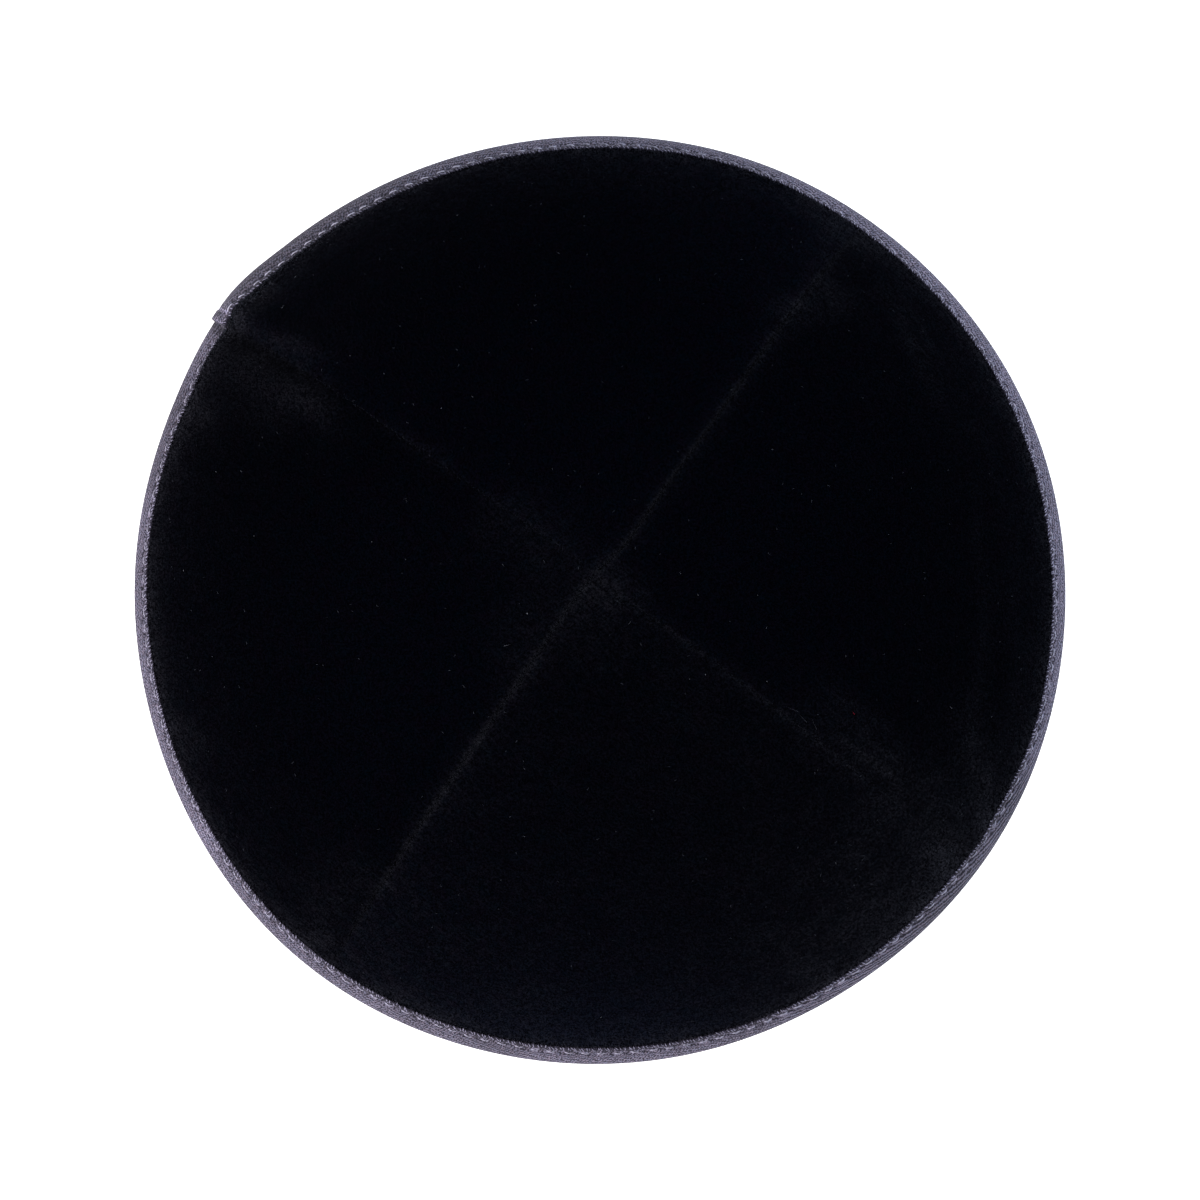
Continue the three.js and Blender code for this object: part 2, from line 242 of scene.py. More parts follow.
# %% Build the floor, the sky and the two lamps
bm = bmesh.new()
bmesh.ops.create_grid(bm, x_segments=1, y_segments=1, size=3.0)
floor = add_object("floor", mesh_of("floor", bm))
floor.location.z = -0.00005  # a hair below the rim, so that the two don't share a plane
floor_paint, tree = new_material("matte_white_table")
surface = add_node(
    tree, "BsdfPrincipled", Base_Color=linear("#f4f4f4"), Roughness=0.9, Specular_IOR_Level=0.1,
    Emission_Color=(1, 1, 1, 1), Emission_Strength=0.9,
)
add_node(tree, "OutputMaterial", Surface=surface.outputs["BSDF"])
floor.data.materials.append(floor_paint)

sky = bpy.data.worlds.new("white_room")
bpy.context.scene.world = sky
sky.use_nodes = True
sky.node_tree.nodes["Background"].inputs["Color"].default_value = (1, 1, 1, 1)
sky.node_tree.nodes["Background"].inputs["Strength"].default_value = 0.08

LAMP_DISTANCE, LAMP_WIDTH = 1.3, 0.7
LAMPS = [  # name, angle round the cap, angle above the table, watts, colour of the light
    ("lamp_lower_left", 212, 24, 36.0, (1.0, 0.985, 0.95)),
    ("lamp_upper_right", 28, 24, 24.8, (0.88, 0.97, 1.0)),
]
for lamp_name, lamp_angle, lamp_rise, watts, light_colour in LAMPS:
    lamp_data = bpy.data.lights.new(lamp_name, "AREA")
    lamp_data.shape = "DISK"
    lamp_data.size = LAMP_WIDTH
    lamp_data.energy = watts
    lamp_data.color = light_colour
    lamp = add_object(lamp_name, lamp_data)
    turn, rise = np.radians(lamp_angle), np.radians(lamp_rise)
    place = Vector((np.cos(turn) * np.cos(rise), np.sin(turn) * np.cos(rise), np.sin(rise)))
    lamp.location = place * LAMP_DISTANCE
    lamp.rotation_euler = place.to_track_quat("Z", "Y").to_euler()
bpy.context.scene.view_settings.view_transform = "Standard"
bpy.context.scene.view_settings.look = "None"
print("lamps:", [row[0] for row in LAMPS])

# %% [markdown]
# ## Velvet
# Velvet is a plain woven ground with a dense pile of cut threads standing on it. The pile swallows light, so
# black velvet is darker than any paint, and it only shows where the pile leans or is pressed: there its sides
# catch the light as a soft grey. So the colour here is almost black with a blue tinge, and three attributes
# of each panel change it: `nap` paints light and shade on each wedge's standing pile, a second adds a painted
# bluish sheen along the front rim, and a third lifts it to pale grey, partly pressed pile and partly painted
# sheen along the rim and the seams, round the crown and on the ridges and creases. It is broken into grains
# the size of a tuft. A weak sheen brightens the cloth where it turns away. Nothing is glossy: the specular
# level is zero.

# %% Make the velvet
TUFT_MM = 0.38  # a tuft's width, drawn a little wider than the real one so that it shows
STREAK_LONG, STREAK_WIDE = 2.4, 0.5  # the streaks that rubbing leaves, in mm
STREAK_TURN = np.radians(-38)  # they run along the seam from left to right
velvet, tree = new_material("black_blue_cotton_velvet")
place_on = add_node(tree, "TexCoord").outputs["Object"]
lift_and_sheen, front_rim_sheen, nap_light_and_shade = (
    add_node(tree, "Attribute", {"attribute_name": name}).outputs["Fac"]
    for name in ("lift_and_sheen", "front_rim_sheen", "nap")
)
tufts = add_node(
    tree, "TexNoise", Vector=place_on, Scale=1000 / TUFT_MM, Detail=1.0, Roughness=0.6, Distortion=0.3
).outputs["Fac"]
clouds = add_node(
    tree, "TexNoise", Vector=place_on, Scale=110.0, Detail=4.0, Roughness=0.65, Distortion=0.5
).outputs["Fac"]
rubbed = add_node(
    tree, "Mapping", {"vector_type": "TEXTURE"}, Vector=place_on, Rotation=(0, 0, STREAK_TURN),
    Scale=(STREAK_LONG / 1000, STREAK_WIDE / 1000, STREAK_WIDE / 1000),
).outputs["Vector"]
streaks = add_node(tree, "TexNoise", Vector=rubbed, Scale=1.0, Detail=2.0, Roughness=0.6).outputs["Fac"]
grain = add_node(
    tree, "MapRange", {"interpolation_type": "SMOOTHSTEP"}, Value=tufts,
    From_Min=0.28, From_Max=0.72, To_Min=0.3, To_Max=1.4,
).outputs["Result"]
streaky = add_node(
    tree, "MapRange", {"interpolation_type": "SMOOTHSTEP"}, Value=streaks,
    From_Min=0.32, From_Max=0.68, To_Min=0.5, To_Max=1.65,
).outputs["Result"]
patchy = add_node(
    tree, "MapRange", Value=clouds, From_Min=0.3, From_Max=0.7, To_Min=0.6, To_Max=1.4
).outputs["Result"]
lifted = add_node(tree, "Math", {"operation": "MULTIPLY"}, i0=lift_and_sheen, i1=streaky).outputs["Value"]
lifted = add_node(
    tree, "Math", {"operation": "MULTIPLY", "use_clamp": True}, i0=lifted, i1=patchy
).outputs["Value"]
hues = add_node(tree, "TexNoise", Vector=place_on, Scale=360.0, Detail=4.0, Roughness=0.8).outputs["Fac"]
hues = add_node(tree, "MapRange", Value=hues, From_Min=0.35, From_Max=0.65).outputs["Result"]
standing_pile = add_node(
    tree, "Mix", {"data_type": "RGBA"}, Factor=hues, A=linear("#010307"), B=linear("#030206")
)
# Each wedge's standing pile made lighter or darker: painted light and shade.
lit_and_shaded_pile = add_node(
    tree, "VectorMath", {"operation": "SCALE"}, i0=standing_pile.outputs["Result"], Scale=nap_light_and_shade
).outputs["Vector"]
# A painted bluish sheen along the front rim.
rim_sheened_pile = add_node(
    tree, "Mix", {"data_type": "RGBA"}, Factor=front_rim_sheen, A=lit_and_shaded_pile, B=linear("#161c2d")
).outputs["Result"]
# Pale grey where the pile is pressed, and where a painted sheen or a painted highlight lights it.
pressed_and_sheened_pile = add_node(
    tree, "Mix", {"data_type": "RGBA"}, Factor=lifted, A=rim_sheened_pile, B=linear("#25252c")
).outputs["Result"]
pile_colour = add_node(
    tree, "VectorMath", {"operation": "SCALE"}, i0=pressed_and_sheened_pile, Scale=grain
).outputs["Vector"]
nap = add_node(tree, "Bump", Height=tufts, Strength=0.6, Distance=0.0003)
velvet_face = add_node(
    tree, "BsdfPrincipled", Base_Color=pile_colour, Roughness=1.0, Normal=nap.outputs["Normal"],
    Specular_IOR_Level=0.0, Sheen_Weight=0.010, Sheen_Roughness=0.3, Sheen_Tint=linear("#c3c8dc"),
)
add_node(tree, "OutputMaterial", Surface=velvet_face.outputs["BSDF"])
print(velvet.name, "nodes:", len(tree.nodes))

# %% [markdown]
# ## The woven back of the velvet
# Under the cap the pile doesn't show: the inside is the plain cotton ground, a tight weave of dull black
# threads about half a millimetre apart. It gives the eye a flat, slightly paler black with a fine grid.

# %% Make the woven back
WAVE_REPEAT = 0.314  # a wave texture of this scale repeats once in 1 unit
THREAD_MM = 0.55
backing, tree = new_material("plain_woven_cotton_back")
uv = add_node(tree, "UVMap", {"uv_map": "cloth"}).outputs["UV"]
warp, weft = (
    add_node(
        tree, "TexWave", {"bands_direction": way}, Vector=uv, Scale=WAVE_REPEAT / THREAD_MM, Distortion=0.5,
        Detail=1.0,
    ).outputs["Fac"]
    for way in "XY"
)
weave = add_node(tree, "Math", {"operation": "MULTIPLY"}, i0=warp, i1=weft).outputs["Value"]
back_colour = add_node(
    tree, "Mix", {"data_type": "RGBA"}, Factor=weave, A=linear("#0c0c10"), B=linear("#24242b")
)
threads = add_node(tree, "Bump", Height=weave, Strength=0.5, Distance=0.0002)
back_face = add_node(
    tree, "BsdfPrincipled", Base_Color=back_colour.outputs["Result"], Roughness=0.95,
    Normal=threads.outputs["Normal"], Specular_IOR_Level=0.15,
)
add_node(tree, "OutputMaterial", Surface=back_face.outputs["BSDF"])
print(backing.name, "nodes:", len(tree.nodes))

# %% [markdown]
# ## Marks in the pile
# A worn velvet cap carries marks: the pile opens along each seam, gets pressed into paler ridges near the
# rim, and is ruffled where it was folded. Painted light is mixed in with them: a painted sheen along the rim,
# on the seams and round the crown, and painted highlights on the ridges, pads and creases. Each row below is
# one such mark, from one place to another, with its half width and how much paler it makes the pile. The rim
# and the seams get theirs by rule, from three short tables, and a fourth paints the light and shade of each
# wedge's nap.

# %% The table of marks
# Pressed, worn and ruffled pile, mixed with painted light: the glows and hazes are painted sheen, and the
# rows on the ridges, the pad, the rumple and the creases are painted highlights on the folds that the FOLDS
# table raises.
PILE_MARKS_AND_SHEEN = [  # what, angle and up of one end, angle and up of the other, half width, strength
    ("pale knot at the crown", 270, 106, 307, 100, 3.6, 0.075),
    ("glow round the crown", 245, 97, 300, 96, 7.0, 0.040),
    ("glow over the crown", 147, 84, 175, 105, 7.5, 0.058),
    ("glow on the right of the crown", 20, 104, 330, 97, 3.2, 0.055),
    ("glow along the crossing", 40, 104, 235, 103, 2.6, 0.040),
    ("haze on the left of the crown", 200, 99, 226, 82, 6.0, 0.040),
    ("rubbed seam on the left", 143.6, 56, 142.4, 76, 1.8, 0.035),
    ("ridge over the left seam", 142.4, 18, 139.5, 39, 1.6, 0.072),
    ("ridge under the left seam", 146.2, 10, 148.2, 48, 4.8, 0.080),
    ("haze between the two ridges", 144.9, 8, 145.0, 42, 2.8, 0.070),
    ("haze under those ridges", 151.0, 18, 153.5, 38, 4.5, 0.040),
    ("haze above those ridges", 138.0, 24, 135.5, 42, 5.0, 0.022),
    ("end of the ridge under the left seam", 147.2, 33, 148.2, 47, 3.0, 0.050),
    ("pale spot on the left rim", 155.4, 3, 156.2, 18, 2.6, 0.100),
    ("pale cloth beside the lap", 134, 9, 149, 9, 4.0, 0.080),
    ("pad over the right seam", 330.2, 63, 328.6, 33, 4.4, 0.058),
    ("worn row in the pad", 326.8, 51, 326.9, 36, 0.9, 0.150),
    ("second worn row", 329.6, 48, 329.2, 38, 0.8, 0.070),
    ("third worn row", 334.0, 58, 333.4, 40, 1.0, 0.030),
    ("soft band along the right seam", 323.7, 75, 324.6, 45, 2.0, 0.045),
    ("end of that band", 325.0, 47, 326.6, 32, 2.4, 0.034),
    ("haze under the pad", 321.0, 52, 323.0, 30, 3.6, 0.020),
    ("pale cloth past the pad", 328.0, 31, 327.0, 16, 4.5, 0.060),
    ("rumple at the right rim", 324.0, 40, 321.0, 4, 9.0, 0.068),
    ("its palest part", 325.0, 18, 317.0, 6, 4.5, 0.075),
    ("lower right side crease", 339.5, 26, 328.0, 4, 3.0, 0.112),
    ("side crease", 338, 23, 354, 26, 2.2, 0.030),
    ("upper side crease", 353, 26, 14, 26, 2.0, 0.020),
    ("crease by the upper seam", 48.0, 18, 29.0, 26, 2.6, 0.048),
    ("second crease there", 46, 15, 34, 20, 1.2, 0.030),
    ("pale cloth across the upper seam", 64, 12, 48, 9, 3.0, 0.056),
    ("pale cloth beside the upper seam", 57, 9, 56, 30, 3.0, 0.035),
    ("haze over the upper seam", 57, 45, 49.0, 26, 4.6, 0.070),
    ("pale corner at the lower seam", 230.0, 6, 233.0, 14, 2.6, 0.058),
    ("haze beside the lower seam", 228.5, 8, 230.0, 36, 6.0, 0.034),
    ("glow on the lower front", 298, 16, 314, 22, 7.0, 0.040),
    ("haze above that glow", 304, 34, 316, 30, 3.5, 0.036),
    ("ruffle on the left rim", 196, 6, 202, 17, 3.2, 0.056),
]
print("marks:", len(PILE_MARKS_AND_SHEEN))

# %% The tables of painted sheen at the rim and on the seams, and of the painted light and shade of the nap
ALL_ROUND = 999  # a half width so great that the wear is the same all round
# Painted sheen along the rim, brightest at the tape's edge; beside and past the lap it also stands for fuzzy
# worn pile.
RIM_SHEEN_ROWS = [  # what, middle angle, half width in degrees, strength at the tape's edge, how far in it reaches
    ("painted sheen by the tape, all round", 0, ALL_ROUND, 0.270, 1.6),
    ("wide painted sheen, all round", 0, ALL_ROUND, 0.048, 16.0),
    ("painted sheen on the left side", 176, 26, 0.140, 2.5),
    ("beside the lap", 143, 16, 0.130, 4.5),
    ("painted sheen over the lower right", 314, 24, 0.120, 24.0),
    ("narrow painted sheen at the lower right", 312, 17, 0.150, 7.0),
    ("past the lap", 162, 9, 0.100, 4.0),
    ("painted sheen at the top", 108, 36, 0.100, 8.0),
]
SEAM_GLOW = {  # how pale a seam is painted, opened pile with a painted sheen: away from the rim, at the rim, and where it fades
    54.4: (0.198, 0.060, 12, 46),
    234.4: (0.182, 0.030, 16, 52),
    143.8: (0.028, 0.000, 40, 66),
    323.8: (0.085, 0.010, 38, 56),
}
PANEL_NAP_SHADING = {  # the painted light and shade of the nap at the rim and near the crown, and a painted paleness over the whole wedge
    "back": (1.08, 1.24, 0.001),
    "left": (0.56, 0.98, 0.006),
    "front": (0.84, 0.86, 0.029),
    "right": (0.62, 1.10, 0.007),
}
NAP_FROM, NAP_TO = 18, 85  # mm up the cloth where the nap's tone turns from one to the other
PAINTED_FRONT_SHEEN = (274, 23, 0.210, 13.0)  # a painted bluish sheen at the front rim, in the same measures as the rim's painted sheen
CREST_WIDTH, HAZE_WIDTH, HAZE_SHARE = 0.66, 2.6, 0.22  # the pale line on a seam, and the haze beside it
print("rows of rim wear:", len(RIM_SHEEN_ROWS))

# %% How pale the pile is painted at each place: pressed pile and painted sheen


def smear(angle, up, row_ends, width):
    """Like a stroke, but fading softly along its length too."""
    x, y = laid_flat(angle, up)
    x0, y0 = laid_flat(row_ends[0], row_ends[1])
    x1, y1 = laid_flat(row_ends[2], row_ends[3])
    dx, dy = (x1 - x0) / 2, (y1 - y0) / 2
    half = np.hypot(dx, dy)
    along = ((x - x0 - dx) * dx + (y - y0 - dy) * dy) / half
    across = ((x - x0 - dx) * dy - (y - y0 - dy) * dx) / half
    return np.exp(-((along / half) ** 4) - (across / width) ** 2)


def paleness_and_sheen(panel, angle, up, from_first, from_last):
    """How pale the pile is at each place of a panel, pressed pile and painted sheen together: 0 is standing
    pile, 1 is the pale grey of flat-pressed pile or of full painted sheen.
    """
    name, first, last = panel
    pale = PANEL_NAP_SHADING[name][2] + sum(row[6] * smear(angle, up, row[1:5], row[5]) for row in PILE_MARKS_AND_SHEEN)
    for distance, seam in ((from_first, first), (from_last, round(last % 360, 1))):
        glow, at_rim, fades_from, fades_to = SEAM_GLOW[seam]
        strength = at_rim + (glow - at_rim) * smooth(up, fades_from, fades_to)
        along = 0.85 + 0.15 * np.sin(up * 0.9 + seam) * np.sin(up * 0.37)
        crest = np.exp(-((distance / CREST_WIDTH) ** 2))
        crest = crest + HAZE_SHARE * np.exp(-((distance / HAZE_WIDTH) ** 2))
        pale = pale + strength * along * crest
    return np.clip(pale + sum(sheen_at_rim(angle, up, *row[1:]) for row in RIM_SHEEN_ROWS), 0, 1)


def sheen_at_rim(angle, up, middle, half_width, strength, reach):
    """Painted sheen that is strongest at the tape's edge and fades up the cloth and to both sides."""
    off = (angle - middle + 180) % 360 - 180
    inward = np.clip(up - tape_reach(angle), 0, None)
    return strength * np.exp(-((off / half_width) ** 2)) * np.exp(-inward / reach)


def nap_shading_at(panel, up):
    """The painted light and shade of a wedge's standing pile, from its tone at the rim to its tone near the
    crown.
    """
    at_rim, at_crown = PANEL_NAP_SHADING[panel[0]][:2]
    return at_rim + (at_crown - at_rim) * smooth(up, NAP_FROM, NAP_TO)


# %% [markdown]
# ## The tape's reach and its lap
# The tape doesn't cover the same width everywhere, and where its two ends meet, at the upper left, the
# upper end lies on the lower one and stands out by almost a millimetre. These two measures are needed by
# the velvet too, because it is pinched between the tape's two legs.

# %% Measures of the tape
TAPE_REACH = [  # angle, mm
    (20, 5.7), (52, 6.5), (74, 5.7), (98, 6.1), (124, 7.3), (140, 7.3),
    (150, 6.1), (170, 5.4), (200, 5.4), (216, 5.9), (244, 6.1), (268, 5.8),
    (292, 5.1), (326, 6.7), (345, 5.2), (380, 5.7),
]
LAP_START, LAP_FULL, LAP_END, UNDER_END = 131.0, 141.0, 144.3, 157.0
LAP_HEIGHT, LAP_UNDER = 0.95, 0.15


def tape_reach(angle):
    """How far the tape reaches up the cloth's face, in mm."""
    first = TAPE_REACH[0][0]
    place = (np.asarray(angle, float) - first) % 360 + first
    reach = np.zeros_like(place)
    for (a0, mm0), (a1, mm1) in zip(TAPE_REACH, TAPE_REACH[1:]):
        inside = (place >= a0) & (place < a1)
        reach = np.where(inside, mm0 + (mm1 - mm0) * smooth(place, a0, a1), reach)
    return reach


def lap_height(angle):
    place = np.asarray(angle, float) % 360
    over = LAP_HEIGHT * smooth(place, LAP_START, LAP_FULL)
    under = LAP_UNDER * (1 - smooth(place, LAP_END, UNDER_END))
    return np.where(place <= LAP_END, over, under)


print("the tape's reach at right, back, left and front, mm:", tape_reach([0, 90, 180, 270]).round(1))


# %% [markdown]
# ## The velvet panels
# Each wedge could be cut flat and sewn by simulation, but the form of the finished cap is known, so a fine
# grid is laid over it instead. The grid is crowded towards the seams, where the cloth rolls down into the
# stitching and puckers a little between stitches. A copy of the grid is the inside, and the two borders
# are bridged, so each panel is one closed wall. The border edges stay sharp, because a smooth shading round
# them would darken the seams. Near the rim the wall gets thinner inside the tape.

# %% Places on a panel's grid, and how far its faces stand out
COLUMNS, ROWS = 92, 116
HIDDEN_ROWS, EDGE_ROWS = 4, 10  # rows inside the tape, and rows crowded at its edge
EDGE_BELOW, EDGE_ABOVE = 0.3, 1.5
RAW_EDGE_UP, CROWN_SHORT = 1.75, 0.05  # mm of the tape below the cloth, and mm left open at the crown
ROW_SPREAD = (0.62, 0.38)  # rows lie closer together near the rim
COLUMN_CROWDING = 0.86
SEAM_HALF_GAP = 0.006
SEAM_ROLL_WIDTH, SEAM_ROLL_DEPTH = 0.9, 0.08
STITCH_MM, PUCKER_MM, PUCKER_WIDTH = 3.3, 0.05, 1.6
PUFF_MM, PUFF_WIDTH = 0.3, 0.9  # the pile swells where the tape's edge presses it
PINCH_MM = 1.0  # and is pressed flat between the tape's legs


def seam_angle(base, up):
    """A seam's angle at each height: it swings at the crown, and the one at the upper right sways."""
    from_crown = DOME_ARC - up
    swung = base + CROWN_TWIST * np.clip(1 - from_crown / TWIST_REACH, 0, 1) ** 2
    seam, mm, full_from, fades_from, fades_to = SEAM_SWAY
    if round(base % 360, 1) != seam:
        return swung
    radius = DOME_RADIUS * np.sin(np.maximum(from_crown, 0.01) / DOME_RADIUS)
    shown = smooth(from_crown, 0, full_from) * (1 - smooth(from_crown, fades_from, fades_to))
    return swung - np.degrees(mm * shown / radius)


def panel_places(panel, across, upward):
    """Turns shares across and up a wedge into angles, ups and distances from its two seams, in mm."""
    _, first, last = panel
    reach = tape_reach(first + (last - first) * across)
    row = upward * ROWS
    hidden = RAW_EDGE_UP + (reach - EDGE_BELOW - RAW_EDGE_UP) * row / HIDDEN_ROWS
    edge = reach - EDGE_BELOW + (EDGE_BELOW + EDGE_ABOVE) * (row - HIDDEN_ROWS) / EDGE_ROWS
    share = np.clip((row - HIDDEN_ROWS - EDGE_ROWS) / (ROWS - HIDDEN_ROWS - EDGE_ROWS), 0, 1)
    upward_share = share * (ROW_SPREAD[0] + ROW_SPREAD[1] * share)
    open_cloth = reach + EDGE_ABOVE + (DOME_ARC - CROWN_SHORT - reach - EDGE_ABOVE) * upward_share
    up = np.where(row < HIDDEN_ROWS, hidden, np.where(row < HIDDEN_ROWS + EDGE_ROWS, edge, open_cloth))
    radius = np.maximum(DOME_RADIUS * np.sin(RIM_SLOPE - up / DOME_RADIUS), 1e-3)
    gap = np.degrees(np.arcsin(np.clip(SEAM_HALF_GAP / radius, 0, 0.7)))
    start = seam_angle(first, up) + gap
    end = seam_angle(last, up) - gap
    crowded = across - COLUMN_CROWDING * np.sin(2 * np.pi * across) / (2 * np.pi)
    angle = start + (end - start) * crowded
    width = np.radians(end - start) * radius
    return angle, up, crowded * width, (1 - crowded) * width


def wall_faces(angle, up, from_seam):
    """How far the face and the back of the wall stand out: rolled at the seams and pinched in the tape."""
    reach = tape_reach(angle)
    pinch = 1 - smooth(up, reach + 0.02, reach + 0.55)
    puff = (PUFF_MM + 0.5 * lap_height(angle)) * np.exp(-(((up - reach - 1.0) / PUFF_WIDTH) ** 2))
    pucker = 0.5 + 0.5 * np.cos(2 * np.pi * up / STITCH_MM)
    open_seam = 0.25 + 0.75 * smooth(up, 25, 60)  # near the rim the tape holds the seam shut
    roll = open_seam * SEAM_ROLL_DEPTH * np.clip(1 - from_seam / SEAM_ROLL_WIDTH, 0, 1) ** 2
    roll = roll + PUCKER_MM * pucker * open_seam * np.exp(-((from_seam / PUCKER_WIDTH) ** 2))
    return puff * (1 - pinch) - PINCH_MM * pinch - roll * (1 - pinch), -CLOTH_WALL + 0.1 * pinch


print("points in a panel's face:", (COLUMNS + 1) * (ROWS + 1))

# %% Build the four panels
for panel in PANELS:
    bm = bmesh.new()
    cloth_uv = bm.loops.layers.uv.new("cloth")
    layers = [bm.verts.layers.float.new(name) for name in ("lift_and_sheen", "front_rim_sheen", "nap")]
    bmesh.ops.create_grid(bm, x_segments=COLUMNS, y_segments=ROWS, size=0.5)
    outer = list(bm.verts)
    copied = bmesh.ops.duplicate(bm, geom=bm.verts[:] + bm.edges[:] + bm.faces[:])
    inner = [v for v in copied["geom"] if isinstance(v, bmesh.types.BMVert)]
    inner_faces = [f for f in copied["geom"] if isinstance(f, bmesh.types.BMFace)]
    bmesh.ops.reverse_faces(bm, faces=inner_faces)
    for face in inner_faces:
        face.material_index = 1
    flat_grid = np.array([v.co[:2] for v in outer]) + 0.5
    angle, up, from_first, from_last = panel_places(panel, flat_grid[:, 0], flat_grid[:, 1])
    face_out, back_out = wall_faces(angle, up, np.minimum(from_first, from_last))
    face_points = to_metres(cap_point(angle, up, face_out))
    back_points = to_metres(cap_point(angle, up, back_out))
    pale = paleness_and_sheen(panel, angle, up, from_first, from_last)
    tones = np.stack([pale, sheen_at_rim(angle, up, *PAINTED_FRONT_SHEEN), nap_shading_at(panel, up)], -1)
    for i, (top, under) in enumerate(zip(outer, inner)):
        top.co = face_points[i]
        under.co = back_points[i]
        for layer, tone in zip(layers, tones[i]):
            top[layer] = tone
    spots = {v: (from_first[i % len(outer)], up[i % len(outer)]) for i, v in enumerate(outer + inner)}
    for face in bm.faces:
        for loop in face.loops:
            loop[cloth_uv].uv = spots[loop.vert]
    border = [e for e in bm.edges if e.is_boundary]
    bmesh.ops.bridge_loops(bm, edges=border)
    for edge in border:
        edge.smooth = False
    bmesh.ops.remove_doubles(bm, verts=bm.verts[:], dist=2e-6)
    for face in bm.faces:
        face.smooth = True
    mesh = mesh_of("velvet_" + panel[0], bm)
    mesh.materials.append(velvet)
    mesh.materials.append(backing)
    piece = add_object("velvet_" + panel[0], mesh)
    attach(piece, "root")
    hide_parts("panel_" + panel[0])
    print(piece.name, "faces:", len(mesh.polygons))

# %% [markdown]
# ## Woven tape
# The binding is a grey-violet cotton tape. Light and dark threads lie over and under each other about half a
# millimetre apart, in slanting rows, with fluff between them, so up close it looks mottled: pale thread backs
# and small dark pits. Towards its stitched edge the weave is looser and its gaps are darker, which the
# `from_edge` attribute gives, in millimetres from that edge. A third attribute makes stretches lighter or
# darker, and carries painted light too: painted highlights on the lap's fold and end, painted shadows in a
# pit of the fold and under the end, and painted shade in the stitch holes. Where `ribbed` is 1 the rows stand
# out as ribs, as they do at the lower right. There is no gloss.

# %% Make the woven tape
THREAD_PITCH_MM, ROW_PITCH_MM = 0.56, 0.88  # the weave, drawn a little coarser than the real one
THREAD_TURN, ROW_TURN = np.radians(33), np.radians(12)
tape_cloth, tree = new_material("grey_violet_woven_tape")
uv = add_node(tree, "UVMap", {"uv_map": "tape"}).outputs["UV"]
leaned = add_node(tree, "Mapping", Vector=uv, Rotation=(0, 0, THREAD_TURN)).outputs["Vector"]
slant = add_node(
    tree, "TexWave", {"bands_direction": "X"}, Vector=leaned, Scale=WAVE_REPEAT / THREAD_PITCH_MM,
    Distortion=5.0, Detail=2.0, Detail_Scale=3.0,
).outputs["Fac"]
drawn = add_node(tree, "Mapping", Vector=uv, Rotation=(0, 0, ROW_TURN)).outputs["Vector"]
rows = add_node(
    tree, "TexWave", {"bands_direction": "Y"}, Vector=drawn, Scale=WAVE_REPEAT / ROW_PITCH_MM,
    Distortion=3.4, Detail=2.0, Detail_Scale=2.0,
).outputs["Fac"]
from_edge, tone_and_painted_shade, ribbed = (
    add_node(tree, "Attribute", {"attribute_name": name}).outputs["Fac"]
    for name in ("from_edge", "tone_and_painted_shade", "ribbed")
)
row_share = add_node(tree, "MapRange", Value=ribbed, To_Min=0.5, To_Max=0.95).outputs["Result"]
fluff_share = add_node(tree, "MapRange", Value=ribbed, To_Min=0.76, To_Max=0.70).outputs["Result"]
fluff = add_node(
    tree, "TexNoise", Vector=uv, Scale=2.9, Detail=0.6, Roughness=0.7, Distortion=0.3
).outputs["Fac"]
wear = add_node(tree, "TexNoise", Vector=uv, Scale=0.12, Detail=3.0, Roughness=0.5).outputs["Fac"]
weave = slant
for share, layer in ((row_share, rows), (fluff_share, fluff)):
    weave = add_node(tree, "Mix", {"data_type": "FLOAT"}, Factor=share, A=weave, B=layer).outputs["Result"]
loose = add_node(
    tree, "MapRange", {"interpolation_type": "SMOOTHSTEP"}, Value=from_edge,
    From_Min=0.2, From_Max=1.1, To_Min=0.2, To_Max=0.0,
).outputs["Result"]
shown = add_node(tree, "Math", {"operation": "SUBTRACT"}, i0=weave, i1=loose).outputs["Value"]
thread_tone = add_node(tree, "MapRange", Value=shown, From_Min=0.425, From_Max=0.60).outputs["Result"]
thread_mix = add_node(tree, "TexNoise", Vector=uv, Scale=1.1, Detail=2.0, Roughness=0.7).outputs["Fac"]
thread_mix = add_node(tree, "MapRange", Value=thread_mix, From_Min=0.35, From_Max=0.65).outputs["Result"]
thread_backs = add_node(
    tree, "Mix", {"data_type": "RGBA"}, Factor=thread_mix, A=linear("#65657c"), B=linear("#73697c")
).outputs["Result"]
tape_colour = add_node(
    tree, "Mix", {"data_type": "RGBA"}, Factor=thread_tone, A=linear("#201d29"), B=thread_backs
)
faded = add_node(
    tree, "MapRange", Value=wear, From_Min=0.3, From_Max=0.7, To_Min=0.88, To_Max=1.12
).outputs["Result"]
# The third attribute scales the colour: lighter and darker stretches, painted highlights and shadows at the
# lap, and painted shade in the stitch holes.
faded = add_node(tree, "Math", {"operation": "MULTIPLY"}, i0=faded, i1=tone_and_painted_shade).outputs["Value"]
toned = add_node(
    tree, "VectorMath", {"operation": "SCALE"}, i0=tape_colour.outputs["Result"], Scale=faded
).outputs["Vector"]
cords = add_node(tree, "Bump", Height=weave, Strength=0.7, Distance=0.0002)
tape_face = add_node(
    tree, "BsdfPrincipled", Base_Color=toned, Roughness=0.9, Normal=cords.outputs["Normal"],
    Specular_IOR_Level=0.15, Sheen_Weight=0.05, Sheen_Roughness=0.5, Sheen_Tint=linear("#c9c5da"),
)
add_node(tree, "OutputMaterial", Surface=tape_face.outputs["BSDF"])
print(tape_cloth.name, "nodes:", len(tree.nodes))

